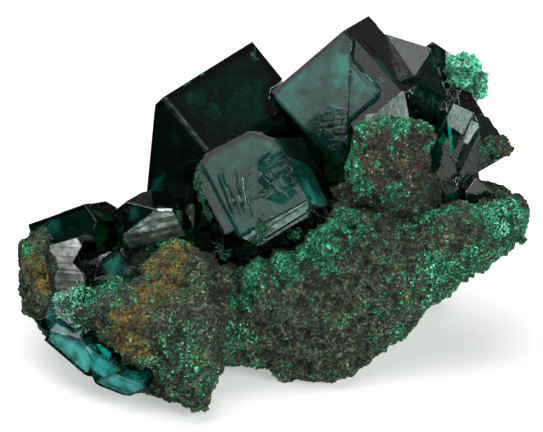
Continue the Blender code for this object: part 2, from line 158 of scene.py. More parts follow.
def cleavage(name, low, high, roughness, sheen, scale=1400.0, upright=1.0):
    """A striated face over flat cleavage cracks, which throw light back whole: a silvery sheen.

    sheen is the share that is thrown back as from a mirror; the rest is scattered by fine cracks.
    Where upright is under 1, the mottling is drawn out in upright streaks."""
    material, tree = new_material(name)
    where = add_node(tree, "ShaderNodeTexCoord").outputs["Object"]
    drawn_out = add_node(tree, "ShaderNodeMapping", {"Vector": where, "Scale": (1.0, 1.0, upright)})
    streak = add_node(tree, "ShaderNodeTexNoise", {
        "Vector": drawn_out.outputs[0], "Scale": scale, "Detail": 4.0})
    share = add_node(tree, "ShaderNodeMapRange", {
        "Value": streak.outputs["Fac"], "From Min": 0.38, "From Max": 0.62})
    colour = add_node(tree, "ShaderNodeMix", {
        "Factor": share.outputs[0], "A": linear(low), "B": linear(high)}, data_type="RGBA")
    bump = add_node(tree, "ShaderNodeBump", {
        "Height": streak.outputs["Fac"], "Strength": 0.4, "Distance": 0.00003})
    shader = add_node(tree, "ShaderNodeBsdfPrincipled", {
        "Base Color": colour.outputs["Result"], "Metallic": sheen, "Roughness": roughness,
        "Normal": bump.outputs[0]})
    add_node(tree, "ShaderNodeOutputMaterial", {"Surface": shader.outputs[0]})
    return material


# A rock's grains by share: where each colour starts.
BROWN_GRAINS = ((0.0, "#1a1f15"), (0.16, "#3a4630"), (0.34, "#262d1e"), (0.5, "#4b5a42"), (0.62, "#2a4c36"),
                (0.74, "#535a3d"), (0.83, "#3f3223"), (0.9, "#3d674c"), (0.97, "#7d8c66"))
RED_GRAINS = ((0.0, "#1c1811"), (0.2, "#3b3424"), (0.4, "#2a271c"), (0.55, "#47432f"), (0.66, "#26452f"),
              (0.78, "#4f3b29"), (0.88, "#343a29"), (0.95, "#7a7a5e"))
RUST_GRAINS = ((0.0, "#66501f"), (0.22, "#74682c"), (0.4, "#423c1f"), (0.54, "#5a6130"), (0.68, "#7c6226"),
               (0.8, "#4b3a1b"), (0.88, "#3d5a37"), (0.95, "#8c7a3c"))
GREEN_GRAINS = ((0.0, "#114730"), (0.2, "#1b7049"), (0.38, "#0f3826"), (0.5, "#24915c"), (0.68, "#15573a"),
                (0.82, "#38ab74"), (0.95, "#80dbb0"))
KNOB_GRAINS = ((0.0, "#41b98c"), (0.25, "#62d8ad"), (0.45, "#2b8a66"), (0.6, "#86e8c6"), (0.77, "#64543a"),
               (0.83, "#4fc49a"), (0.95, "#d2faeb"))
# A grain of the rock measures about this much across, in millimetres.
GRAIN_SIZE = 0.2


def ore(name, grains, green_grains):
    """Weathered ore: granular and dark, with rust and a green crust where its attributes say."""
    material, tree = new_material(name)
    where = add_node(tree, "ShaderNodeTexCoord").outputs["Object"]
    green = add_node(tree, "ShaderNodeAttribute", attribute_name="green").outputs["Fac"]
    rust = add_node(tree, "ShaderNodeAttribute", attribute_name="rust").outputs["Fac"]
    deep = add_node(tree, "ShaderNodeAttribute", attribute_name="deep").outputs["Fac"]
    hollow = add_node(tree, "ShaderNodeAttribute", attribute_name="hollow").outputs["Fac"]
    cloud = add_node(tree, "ShaderNodeTexNoise", {
        "Vector": where, "Scale": 420.0, "Detail": 8.0, "Roughness": 0.7})
    speck = add_node(tree, "ShaderNodeTexNoise", {"Vector": where, "Scale": 3800.0, "Detail": 3.0})
    jitter = add_node(tree, "ShaderNodeVectorMath", {
        0: speck.outputs["Color"], "Scale": 0.3 * GRAIN_SIZE * MM}, operation="SCALE")
    ragged = add_node(tree, "ShaderNodeVectorMath", {0: where, 1: jitter.outputs[0]}, operation="ADD")
    cell = add_node(tree, "ShaderNodeTexVoronoi", {
        "Vector": ragged.outputs[0], "Scale": 1 / (GRAIN_SIZE * MM)})
    pick = add_node(tree, "ShaderNodeSeparateColor", {"Color": cell.outputs["Color"]})
    plain = add_node(tree, "ShaderNodeValToRGB", {"Fac": pick.outputs[0]}, grains)
    rusty = add_node(tree, "ShaderNodeValToRGB", {"Fac": pick.outputs[1]}, RUST_GRAINS)
    leafy = add_node(tree, "ShaderNodeValToRGB", {"Fac": pick.outputs[2]}, green_grains)
    wide = add_node(tree, "ShaderNodeMapRange", {
        "Value": cloud.outputs["Fac"], "From Min": 0.36, "From Max": 0.64, "To Min": 0.35, "To Max": 1.65})
    rust_edge = add_node(tree, "ShaderNodeMath", {0: rust, 1: cloud.outputs["Fac"]}, operation="ADD")
    rust_share = add_node(tree, "ShaderNodeMapRange", {
        "Value": rust_edge.outputs[0], "From Min": 0.85, "From Max": 1.0})
    stained = add_node(tree, "ShaderNodeMix", {
        "Factor": rust_share.outputs[0], "A": plain.outputs["Color"], "B": rusty.outputs["Color"]},
        data_type="RGBA")
    green_edge = add_node(tree, "ShaderNodeMath", {0: green, 1: speck.outputs["Fac"]}, operation="ADD")
    green_share = add_node(tree, "ShaderNodeMapRange", {
        "Value": green_edge.outputs[0], "From Min": 0.76, "From Max": 0.86})
    coated = add_node(tree, "ShaderNodeMix", {
        "Factor": green_share.outputs[0], "A": stained.outputs["Result"], "B": leafy.outputs["Color"]},
        data_type="RGBA")
    narrow = add_node(tree, "ShaderNodeMapRange", {
        "Value": speck.outputs["Fac"], "From Min": 0.35, "From Max": 0.65, "To Min": 0.4, "To Max": 1.6})
    tone = add_node(tree, "ShaderNodeMath", {0: wide.outputs[0], 1: narrow.outputs[0]}, operation="MULTIPLY")
    toned = add_node(tree, "ShaderNodeVectorMath", {
        0: coated.outputs["Result"], "Scale": tone.outputs[0]}, operation="SCALE")
    # Painted shade: the rock's colour is darkened towards near black in its hollows, by up to three quarters, and in
    # its deep clefts.
    painted_hollow_shade = add_node(tree, "ShaderNodeMath", {0: hollow, 1: 0.75}, operation="MULTIPLY")
    shaded = add_node(tree, "ShaderNodeMath", {0: deep, 1: painted_hollow_shade.outputs[0]}, operation="MAXIMUM")
    dark = add_node(tree, "ShaderNodeMix", {
        "Factor": shaded.outputs[0], "A": toned.outputs[0], "B": linear("#0e0e0b")}, data_type="RGBA")
    height = add_node(tree, "ShaderNodeMath", {
        0: speck.outputs["Fac"], 1: cell.outputs["Distance"]}, operation="SUBTRACT")
    bump = add_node(tree, "ShaderNodeBump", {"Height": height.outputs[0], "Strength": 0.9, "Distance": 0.0001})
    shader = add_node(tree, "ShaderNodeBsdfPrincipled", {
        "Base Color": dark.outputs["Result"], "Roughness": 0.8, "Normal": bump.outputs[0]})
    add_node(tree, "ShaderNodeOutputMaterial", {"Surface": shader.outputs[0]})
    return material


def druse_green(name, low, high, roughness):
    """A crust of tiny dioptase crystals: glossy points, from deep green to pale turquoise."""
    material, tree = new_material(name)
    where = add_node(tree, "ShaderNodeTexCoord").outputs["Object"]
    tone = add_node(tree, "ShaderNodeTexNoise", {"Vector": where, "Scale": 3500.0, "Detail": 2.0})
    spread = add_node(tree, "ShaderNodeMapRange", {"Value": tone.outputs["Fac"], "From Min": 0.35, "From Max": 0.65})
    colour = add_node(tree, "ShaderNodeMix", {
        "Factor": spread.outputs[0], "A": linear(low), "B": linear(high)}, data_type="RGBA")
    shader = add_node(tree, "ShaderNodeBsdfPrincipled", {
        "Base Color": colour.outputs["Result"], "Roughness": roughness, "IOR": 1.67})
    add_node(tree, "ShaderNodeOutputMaterial", {"Surface": shader.outputs[0]})
    return material


def finish_piece(name, mesh, material, slot, *nodes):
    """A bmesh becomes a piece of the specimen, with its finish, in place of the CAD nodes it stands for."""
    data = bpy.data.meshes.new(name)
    mesh.to_mesh(data)
    mesh.free()
    return finish_data(name, data, material, slot, *nodes)


def finish_data(name, data, material, slot, *nodes):
    data.name = name
    piece = bpy.data.objects.new(name, data)
    bpy.context.scene.collection.objects.link(piece)
    data.materials.clear()
    data.materials.append(material)
    for face in data.polygons:
        face.material_index = 0
    if nodes:
        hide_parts(*nodes)
    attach(piece, "root")
    return piece


def cad_copy(name):
    """A copy of a CAD node's mesh with its corners merged."""
    mesh = bmesh.new()
    mesh.from_mesh(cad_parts[name].data)
    bmesh.ops.remove_doubles(mesh, verts=mesh.verts, dist=2e-6)
    return mesh


def whole_faces(mesh):
    """Join the triangles of each flat face in one."""
    bmesh.ops.dissolve_limit(mesh, angle_limit=math.radians(FLAT), verts=mesh.verts, edges=mesh.edges)
    mesh.faces.ensure_lookup_table()
    return mesh


def face_outward(mesh):
    bmesh.ops.recalc_face_normals(mesh, faces=mesh.faces)
    if mesh.calc_volume(signed=True) < 0:
        bmesh.ops.reverse_faces(mesh, faces=mesh.faces)


def apply_modifier(item, kind, **settings):
    modifier = item.modifiers.new("step", kind)
    for name, value in settings.items():
        setattr(modifier, name, value)
    data = bpy.data.meshes.new_from_object(item.evaluated_get(bpy.context.evaluated_depsgraph_get()))
    item.modifiers.clear()
    before = item.data
    item.data = data
    bpy.data.meshes.remove(before)


def scratch_object(mesh):
    """A bmesh as a bare object to work on."""
    data = bpy.data.meshes.new("scratch")
    mesh.to_mesh(data)
    mesh.free()
    item = bpy.data.objects.new("scratch", data)
    bpy.context.scene.collection.objects.link(item)
    return item


def drop(item):
    data = item.data
    bpy.data.objects.remove(item, do_unlink=True)
    bpy.data.meshes.remove(data)


def take_data(item):
    """An object's mesh, without the object."""
    data = item.data
    bpy.data.objects.remove(item, do_unlink=True)
    return data


def volume_of(item):
    mesh = bmesh.new()
    mesh.from_mesh(item.data)
    volume = mesh.calc_volume(signed=True)
    mesh.free()
    return volume


def face_axes(face):
    """A face's normal and the directions of its long sides."""
    sides = sorted(face.edges, key=lambda edge: -edge.calc_length())
    first = (sides[0].verts[1].co - sides[0].verts[0].co).normalized()
    for side in sides[1:]:
        second = (side.verts[1].co - side.verts[0].co).normalized()
        if first.cross(second).length > 0.5:
            return face.normal.copy(), first, second
    return face.normal.copy(), first, face.normal.cross(first)


# The crystals.

def soften_edges(mesh, width):
    """Break the sharp edges of a crystal by a hair, where both faces are wide enough."""
    wide = []
    for edge in mesh.edges:
        if len(edge.link_faces) != 2 or edge.calc_face_angle() < math.radians(12):
            continue
        start, end = (vertex.co for vertex in edge.verts)
        along = (end - start).normalized()
        if all(max((corner.co - start).cross(along).length for corner in face.verts) > 4 * width
               for face in edge.link_faces):
            wide.append(edge)
    bmesh.ops.bevel(mesh, geom=wide, offset=width, offset_type="OFFSET", affect="EDGES", segments=2,
                    profile=0.5, material=-1, clamp_overlap=False)


def flatten_steps(mesh, least):
    """Lay any face that stands off a larger parallel one by less than least in that face's plane."""
    faces = sorted(mesh.faces, key=lambda face: -face.calc_area())
    planes = [(face.normal.copy(), face.normal.dot(face.verts[0].co)) for face in faces]
    for index, face in enumerate(faces):
        for normal, offset in planes[:index]:
            step = offset - normal.dot(face.verts[0].co)
            if normal.dot(planes[index][0]) > 0.99999 and 1e-7 < abs(step) < least:
                for vertex in face.verts:
                    vertex.co += normal * (offset - normal.dot(vertex.co))
                break
    bmesh.ops.remove_doubles(mesh, verts=mesh.verts, dist=2e-6)
    bmesh.ops.dissolve_degenerate(mesh, edges=mesh.edges, dist=2e-6)
    return whole_faces(mesh)


def split_face(mesh, face, point, across):
    """Cut one face along a plane and return its parts."""
    cut = bmesh.ops.bisect_plane(mesh, geom=[face, *face.edges, *face.verts], plane_co=point, plane_no=across,
                                 dist=1e-8)
    return [part for part in cut["geom"] if isinstance(part, bmesh.types.BMFace)]


def crack_in_scales(mesh, spot, reach, count, lean, towards, seed):
    """Break a place on a crystal's face up in small scales between cracks.

    The scales lie within reach, in millimetres, and lean by about lean degrees in a direction."""
    dice = random.Random(seed)
    _, _, index, _ = BVHTree.FromBMesh(mesh).find_nearest(place(*spot))
    mesh.faces.ensure_lookup_table()
    region = mesh.faces[index]
    normal, first, _ = face_axes(region)
    other = normal.cross(first)
    middle = place(*spot)
    for turn in range(0, 360, 60):
        angle = math.radians(turn + dice.uniform(-15, 15))
        outward = first * math.cos(angle) + other * math.sin(angle)
        parts = split_face(mesh, region, middle + outward * reach * dice.uniform(0.7, 1.1) * MM, outward)
        region = min(parts, key=lambda part: (part.calc_center_median() - middle).dot(outward))
    scales = [region]
    while len(scales) < count:
        biggest = max(scales, key=lambda part: part.calc_area())
        scales.remove(biggest)
        angle = math.radians(dice.choice((0, 0, 90)) + dice.uniform(-22, 22))
        across = first * math.cos(angle) + other * math.sin(angle)
        centre = biggest.calc_center_median()
        scales += split_face(mesh, biggest, centre + across * dice.uniform(-0.15, 0.15) * MM, across)
    downhill = Vector(towards) - normal * normal.dot(Vector(towards))
    downhill.normalize()
    for scale in scales:
        bmesh.ops.inset_individual(mesh, faces=[scale], thickness=dice.uniform(0.05, 0.09) * MM,
                                   depth=dice.uniform(0.02, 0.1) * MM, use_even_offset=True)
        slope = math.tan(math.radians(dice.choice((lean, lean, lean, 0)) + dice.uniform(-2, 2)))
        centre = scale.calc_center_median()
        for vertex in scale.verts:
            vertex.co -= normal * slope * (vertex.co - centre).dot(downhill)


# Cracked places, in millimetres: a place on a face, its reach, how many scales, their lean and its direction.
CRACKED = {
    "crystal_group_summit": (((6.6, 5.1, 20.3), 2.8, 40, 3.5, (0, 0, 1)),),
    "crystal_centre": (((1.0, -5.0, 19.8), 2.5, 44, 12, (1, 0, 0)),),
}


def growth_plate(corners, normal, height):
    """A thin flat layer of crystal on a face, a little narrower at its top."""
    mesh = bmesh.new()
    middle = sum(corners, Vector()) / len(corners)
    mesh.faces.new([mesh.verts.new(corner - normal * height * 2) for corner in corners])
    raised = bmesh.ops.extrude_face_region(mesh, geom=mesh.faces[:])
    for vertex in (part for part in raised["geom"] if isinstance(part, bmesh.types.BMVert)):
        vertex.co += normal * height * 3 + (middle - vertex.co).normalized() * height * 0.6
    face_outward(mesh)
    return mesh


def change_where_sound(item, part, operation):
    """Join a part to a crystal or cut it out, unless that would break the crystal's mesh."""
    before = item.data.copy()
    volume = volume_of(item)
    apply_modifier(item, "BOOLEAN", operation=operation, solver="EXACT", object=part)
    if abs(volume_of(item) / volume - 1) > 0.005:
        item.data = before
    drop(part)


def grow_layers(item, spots, count, seed, widest, thickness):
    """Stand thin growth layers on the crystal's wide faces, with their sides along its own edges.

    spots, in millimetres, gather them round chosen places; with none they stand all over."""
    dice = random.Random(seed)
    mesh = bmesh.new()
    mesh.from_mesh(item.data)
    whole_faces(mesh)
    surface = BVHTree.FromBMesh(mesh)
    faces = [face for face in mesh.faces if face.calc_area() > (2.2 * MM) ** 2]
    plates = []
    for _ in range(count * 8):
        if len(plates) == count or not faces:
            break
        if spots:
            spot, reach = dice.choice(spots)
            foot, _, index, _ = surface.find_nearest(place(*spot))
            face = mesh.faces[index]
            normal, first, second = face_axes(face)
            corner = foot + (first * dice.gauss(0, 0.5) + second * dice.gauss(0, 0.5)) * reach * MM
        else:
            face = dice.choices(faces, [one.calc_area() for one in faces])[0]
            normal, first, second = face_axes(face)
            corner = dice.choice(face.verts[:]).co.lerp(face.calc_center_median(), dice.random())
        length = dice.uniform(0.4, 1.0) ** 2 * widest * MM
        width = length * dice.uniform(0.12, 0.6)
        if dice.random() < 0.5:
            first, second = second, first
        corners = [corner, corner + first * length, corner + first * length + second * width,
                   corner + second * width]
        hits = [surface.ray_cast(point + normal * MM, -normal, 1.02 * MM)[0] for point in corners]
        if all(hit is not None and (hit - point).length < 0.02 * MM for hit, point in zip(hits, corners)):
            plates.append(growth_plate(corners, normal, dice.uniform(*thickness) * MM))
    mesh.free()
    for plate in plates:
        change_where_sound(item, scratch_object(plate), "UNION")


# Where growth layers crowd on a crystal, in millimetres: a place on a face and the reach round it.
FLAKED_SPOTS = {
    "crystal_centre": (((-1.6, -5.0, 18.6), 2.0), ((-0.4, -5.4, 18.0), 1.4)),
}


# Cracks in the crystals' faces, in millimetres: from, to, width and depth.
GROOVES = {
    "crystal_group_summit": (
        ((8.2, 6.3, 26.5), (10.4, 5.35, 24.0), 0.16, 0.3), ((8.9, 6.2, 26.2), (10.7, 5.4, 24.2), 0.05, 0.12)),
    "crystal_centre": (
        ((-3.3, -4.2, 18.6), (-2.6, -5.5, 16.9), 0.3, 0.2), ((-2.3, -3.9, 19.9), (-0.9, -4.1, 20.6), 0.1, 0.15),
        ((-2.3, -5.4, 17.2), (-0.7, -5.7, 17.8), 0.12, 0.15), ((-2.9, -4.8, 17.9), (-2.0, -4.2, 19.6), 0.08, 0.12)),
}


def streaks(start, end, sideways, count, seed):
    """Many grooves side by side along one line, as make_crystal's list of grooves."""
    dice = random.Random(seed)
    start, end, sideways = Vector(start), Vector(end), Vector(sideways)
    made = []
    for _ in range(count):
        aside = sideways * dice.random() ** 1.4
        first = start.lerp(end, dice.uniform(0.0, 0.65)) + aside
        last = start.lerp(end, dice.uniform(0.7, 1.0)) + aside * 0.8
        made.append((first, last, dice.uniform(0.05, 0.2), dice.uniform(0.06, 0.16)))
    return made


# Striated places: the line, how far the grooves spread beside it, how many and their seed.
STREAKS = {"crystal_centre": ((-5.4, -2.8, 19.5), (-3.6, -5.9, 15.6), (2.4, -0.9, 0.3), 34, 71)}


def cut_grooves(item, grooves):
    """Cut narrow straight cracks in a crystal's faces, where that leaves it sound."""
    mesh = bmesh.new()
    mesh.from_mesh(item.data)
    surface = BVHTree.FromBMesh(mesh)
    mesh.free()
    for start, end, width, depth in grooves:
        start, normal, _, _ = surface.find_nearest(place(*start))
        end = surface.find_nearest(place(*end))[0]
        along = (end - start).normalized()
        across = normal.cross(along).normalized()
        cutter = bmesh.new()
        shape = Matrix.Diagonal(((end - start).length, width * MM, 2 * depth * MM, 1.0))
        axes = Matrix((along, across, along.cross(across))).transposed().to_4x4()
        # A bar on its edge, so that the groove is a V.
        edge = math.sqrt(0.5)
        on_edge = Matrix.Rotation(math.radians(45), 4, "X") @ Matrix.Diagonal((1.0, edge, edge, 1.0))
        bmesh.ops.create_cube(cutter, size=1.0, matrix=(
            Matrix.Translation((start + end) / 2) @ axes @ shape @ on_edge))
        change_where_sound(item, scratch_object(cutter), "DIFFERENCE")


def make_crystal(name, material, softness, layers, seed, widest):
    """A crystal with broken edges and growth layers, in place of its plain solid."""
    item = scratch_object(whole_faces(cad_copy(name)))
    true_volume = volume_of(item)
    flat = scratch_object(flatten_steps(whole_faces(cad_copy(name)), 0.02 * MM))
    if abs(volume_of(flat) / true_volume - 1) < 0.01:
        item, flat = flat, item
    drop(flat)
    for share in (1.0, 0.5, 0.25):
        mesh = bmesh.new()
        mesh.from_mesh(item.data)
        for seat, (spot, reach, scales, lean, towards) in enumerate(CRACKED.get(name, ())):
            crack_in_scales(mesh, spot, reach, scales, lean, towards, seed + 90 + seat)
        soften_edges(mesh, softness * share * MM)
        soft = scratch_object(mesh)
        if abs(volume_of(soft) / true_volume - 1) < 0.01:
            drop(item)
            item = soft
            break
        drop(soft)
    if layers:
        grow_layers(item, (), layers, seed, widest, (0.02, 0.06))
    if name in FLAKED_SPOTS:
        grow_layers(item, FLAKED_SPOTS[name], 30, seed + 60, 1.5, (0.03, 0.12))
    cut_grooves(item, GROOVES.get(name, ()))
    if name in STREAKS:
        cut_grooves(item, streaks(*STREAKS[name]))
    return finish_data(name + "_grown", take_data(item), material, name, name)


# The striated faces.

def crystal_face(name, spot):
    """The flat face of a crystal that lies nearest to a point, as a bmesh of that one face."""
    mesh = whole_faces(cad_copy(name))
    _, _, index, _ = BVHTree.FromBMesh(mesh).find_nearest(place(*spot))
    kept = mesh.faces[index]
    bmesh.ops.delete(mesh, geom=[face for face in mesh.faces if face is not kept], context="FACES")
    return mesh


def face_through(corners):
    """A flat face with corners in millimetres, that faces the front."""
    mesh = bmesh.new()
    face = mesh.faces.new([mesh.verts.new(place(*corner)) for corner in corners])
    face.normal_update()
    if face.normal.y > 0:
        face.normal_flip()
    return mesh


# The direction in which the outlines of the striated places were taken, from the front and above.
FROM_FRONT = Vector((0, 0.9272, -0.3746))


def outline_on(name, spot, corners):
    """An outline, in millimetres, laid on the crystal's flat face nearest to a point, and that face."""
    whole = crystal_face(name, spot)
    whole.faces.ensure_lookup_table()
    ground = whole.faces[0]
    mesh = bmesh.new()
    laid = []
    for corner in corners:
        away = (ground.verts[0].co - place(*corner)).dot(ground.normal) / FROM_FRONT.dot(ground.normal)
        laid.append(mesh.verts.new(place(*corner) + FROM_FRONT * away))
    face = mesh.faces.new(laid)
    face.normal_update()
    if face.normal.dot(ground.normal) < 0:
        face.normal_flip()
    return mesh, whole


def cut_to_face(bars, face_mesh, normal):
    """Cut bars off at the edges of a flat face."""
    bmesh.ops.translate(face_mesh, vec=normal * -0.3 * MM, verts=face_mesh.verts)
    raised = bmesh.ops.extrude_face_region(face_mesh, geom=face_mesh.faces[:])
    tops = [part for part in raised["geom"] if isinstance(part, bmesh.types.BMVert)]
    bmesh.ops.translate(face_mesh, vec=normal * 0.8 * MM, verts=tops)
    face_outward(face_mesh)
    slab = scratch_object(face_mesh)
    apply_modifier(bars, "BOOLEAN", operation="INTERSECT", solver="EXACT", object=slab)
    drop(slab)


def ledges(faces, spot, turned, reach, widths, height, lean, tilt, gaps, seed, towards=(0, 0, 1)):
    """Long narrow ledges side by side on the first of some faces in one plane, cut off at the edges of all.

    reach is how far they run each way along and across from the spot, in millimetres. Their tops
    lean towards a direction, upwards if none is given, by lean degrees, give or take tilt."""
    dice = random.Random(seed)
    faces[0].faces.ensure_lookup_table()
    face = faces[0].faces[0]
    normal, along, other = face_axes(face)
    if turned:
        along = other
    across = normal.cross(along)
    upward = across if across.dot(Vector(towards)) > 0 else -across
    middle = place(*spot)
    middle -= normal * (middle - face.verts[0].co).dot(normal)
    deep = 0.12 * MM
    bars = bmesh.new()
    done = -reach[1]
    while done < reach[1]:
        width = dice.uniform(*widths)
        start, end = -reach[0] * dice.uniform(0.55, 1), reach[0] * dice.uniform(0.55, 1)
        slope = math.tan(math.radians(lean + dice.uniform(-tilt, tilt)))
        if dice.random() > gaps:
            made = bmesh.ops.create_cube(bars, size=1.0)
            tops = [vertex for vertex in made["verts"] if vertex.co.z > 0]
            stand = (dice.uniform(*height) + abs(slope) * width / 2) * MM
            axes = Matrix((along, across, normal)).transposed().to_4x4()
            centre = (middle + along * (start + end) / 2 * MM + across * (done + width / 2) * MM
                      + normal * (stand - deep) / 2)
            shape = Matrix.Diagonal(((end - start) * MM, width * 0.95 * MM, stand + deep, 1.0))
            bmesh.ops.transform(bars, matrix=Matrix.Translation(centre) @ axes @ shape, verts=made["verts"])
            for vertex in tops:
                vertex.co -= normal * slope * (vertex.co - centre).dot(upward)
        done += width
    bars = scratch_object(bars)
    for face_mesh in faces:
        cut_to_face(bars, face_mesh, normal)
    return take_data(bars)


# The layered end of the crystal at the left edge, deep in its pocket.
LEFT_EDGE_END = ((-21.45, 0.98, 10.02), (-18.75, 0.82, 10.9), (-18.29, 0.53, 10.21), (-19.2, 0.18, 8.59),
                 (-17.41, -0.65, 6.83), (-17.42, -0.91, 5.97), (-20.74, -0.4, 5.92), (-21.02, 0.04, 7.19))


# The bright end of the front crystal in the middle shows as a band along its upper edge.
CENTRE_BAND = ((-2.9, -6.69, 14.11), (-1.17, -6.34, 13.03), (5.15, -6.97, 17.52), (3.48, -7.18, 18.0))
# A narrow strip along the left edge of the back crystal.
BACK_EDGE = ((-10.74, 8.92, 22.21), (-10.25, 9.02, 22.39), (-6.07, 5.72, 18.21), (-6.5, 5.56, 17.95))
# The bright striated place over the perched lump: its part left of the edge between two faces.
SUMMIT_PLATE = ((9.05, 5.0, 22.02), (10.39, 5.0, 22.17), (11.16, 5.0, 22.33), (11.16, 5.0, 20.5),
                (9.05, 5.0, 20.5))
# The bright plates on the right wedge of the summit crystals: a point on the face that each lies on,
# its outline, the widths of its ledges and how far they lean.
WEDGE_OUTLINE = ((19.15, 3.48, 21.96), (19.97, 2.22, 22.06), (18.76, 1.97, 20.09), (18.41, 2.67, 20.2))
WEDGE_PLATES = (
    ((17.9, 5.2, 21.6), ((17.07, 6.65, 21.67), (17.57, 6.85, 22.58), (19.34, 3.86, 22.56), (18.31, 3.33, 20.61),
                         (17.13, 5.47, 20.75)), (4.0, 4.0), 0),
    ((19.1, 3.0, 20.7), WEDGE_OUTLINE, (0.08, 0.25), 20),
    ((18.9, 3.4, 21.0), WEDGE_OUTLINE, (0.08, 0.25), 20),
)


def make_striated_faces(silver, gray, slate, frosted, pearly_sheen_and_painted_light):
    finish_data("striae_left_front", ledges(
        [crystal_face("crystal_left_front", (-11.6, -1.8, 13.6))], (-11.6, -1.8, 13.6), True, (5, 3),
        (0.1, 0.4), (0.01, 0.04), 27, 9, 0.08, 3), silver, "crystal_left_front")
    finish_data("striae_left_edge", ledges(
        [face_through(LEFT_EDGE_END)], (-19.4, 0.2, 8.6), False, (5, 5),
        (0.12, 0.5), (0.02, 0.3), 6, 9, 0.02, 5), pearly_sheen_and_painted_light, "crystal_left_edge")
    finish_data("striae_centre", ledges(
        outline_on("crystal_centre", (0.7, -6.7, 15.4), CENTRE_BAND), (0.8, -6.78, 15.45), False, (4.5, 0.9),
        (0.06, 0.25), (0.01, 0.04), 10, 6, 0.1, 7), slate, "crystal_centre")
    finish_data("striae_summit", ledges(
        [crystal_face("crystal_group_summit", (12.8, 5.1, 23.0))], (12.4, 5.5, 22.2), True, (3, 2.6),
        (0.06, 0.22), (0.01, 0.04), 24, 9, 0.04, 9), frosted, "crystal_group_summit")
    for tag, spot in (("left", (10.3, 5.2, 21.7)), ("edge", (9.5, 5.1, 21.8))):
        finish_data("striae_summit_" + tag, ledges(
            outline_on("crystal_group_summit", spot, SUMMIT_PLATE), (10.1, 4.9, 21.9), True, (3, 3),
            (0.06, 0.22), (0.01, 0.04), 0, 6, 0.04, 10), frosted, "crystal_group_summit")
    finish_data("fins_summit", ledges(
        [crystal_face("crystal_group_summit", (7.9, 7.2, 28.3))], (8.0, 7.2, 28.2), True, (1.9, 0.55),
        (0.05, 0.13), (0.02, 0.12), 0, 14, 0.3, 12), gray, "crystal_group_summit")
    for index, (spot, corners, widths, lean) in enumerate(WEDGE_PLATES):
        finish_data(f"striae_wedge_{index}", ledges(
            outline_on("crystal_group_summit", spot, corners), spot, False, (2.5, 2), widths, (0.03, 0.05),
            lean, lean / 4, 0.0, 15 + index, (1, -0.4, 0.2)), frosted, "crystal_group_summit")
    for tag, spot in (("left", (-8.1, 7.2, 20.1)), ("edge", (-8.7, 7.5, 20.3))):
        finish_data("striae_back_" + tag, ledges(
            outline_on("crystal_back_left", spot, BACK_EDGE), (-8.4, 7.3, 20.2), False, (5, 0.3),
            (0.12, 0.2), (0.01, 0.02), 0, 2, 0.0, 21), gray, "crystal_back_left")
    finish_data("striae_pocket", ledges(
        [crystal_face("crystal_pocket_cube", (17.4, -2.1, 16.9))], (17.3, -2.1, 17.0), False, (1.5, 1.5),
        (0.15, 0.4), (0.01, 0.03), 22, 4, 0.0, 19), gray, "crystal_pocket_cube")


# Healed fractures inside the crystals.

def strew(name, seeds, shape, material, slot):
    """One joined mesh of copies of a shape, each at its own place, turn and size."""
    data = bpy.data.meshes.new(name)
    data.from_pydata([spot for spot, _, _ in seeds], [], [])
    turn = data.attributes.new("turn", "FLOAT_VECTOR", "POINT")
    size = data.attributes.new("size", "FLOAT_VECTOR", "POINT")
    for index, (_, angles, lengths) in enumerate(seeds):
        turn.data[index].vector = angles
        size.data[index].vector = lengths
    tree = bpy.data.node_groups.new(name, "GeometryNodeTree")
    tree.interface.new_socket("Geometry", in_out="INPUT", socket_type="NodeSocketGeometry")
    tree.interface.new_socket("Geometry", in_out="OUTPUT", socket_type="NodeSocketGeometry")
    points = add_node(tree, "GeometryNodeMeshToPoints", {"Mesh": add_node(tree, "NodeGroupInput").outputs[0]})
    stood = add_node(tree, "GeometryNodeInstanceOnPoints", {
        "Points": points.outputs[0],
        "Instance": add_node(tree, "GeometryNodeObjectInfo", {"Object": shape}).outputs["Geometry"],
        "Rotation": add_node(tree, "GeometryNodeInputNamedAttribute", {"Name": "turn"},
                             data_type="FLOAT_VECTOR").outputs["Attribute"],
        "Scale": add_node(tree, "GeometryNodeInputNamedAttribute", {"Name": "size"},
                          data_type="FLOAT_VECTOR").outputs["Attribute"]})
    real = add_node(tree, "GeometryNodeRealizeInstances", {"Geometry": stood.outputs[0]})
    add_node(tree, "NodeGroupOutput", {0: real.outputs[0]})
    item = bpy.data.objects.new(name, data)
    bpy.context.scene.collection.objects.link(item)
    apply_modifier(item, "NODES", node_group=tree)
    bpy.data.node_groups.remove(tree)
    return finish_data(name, take_data(item), material, slot)


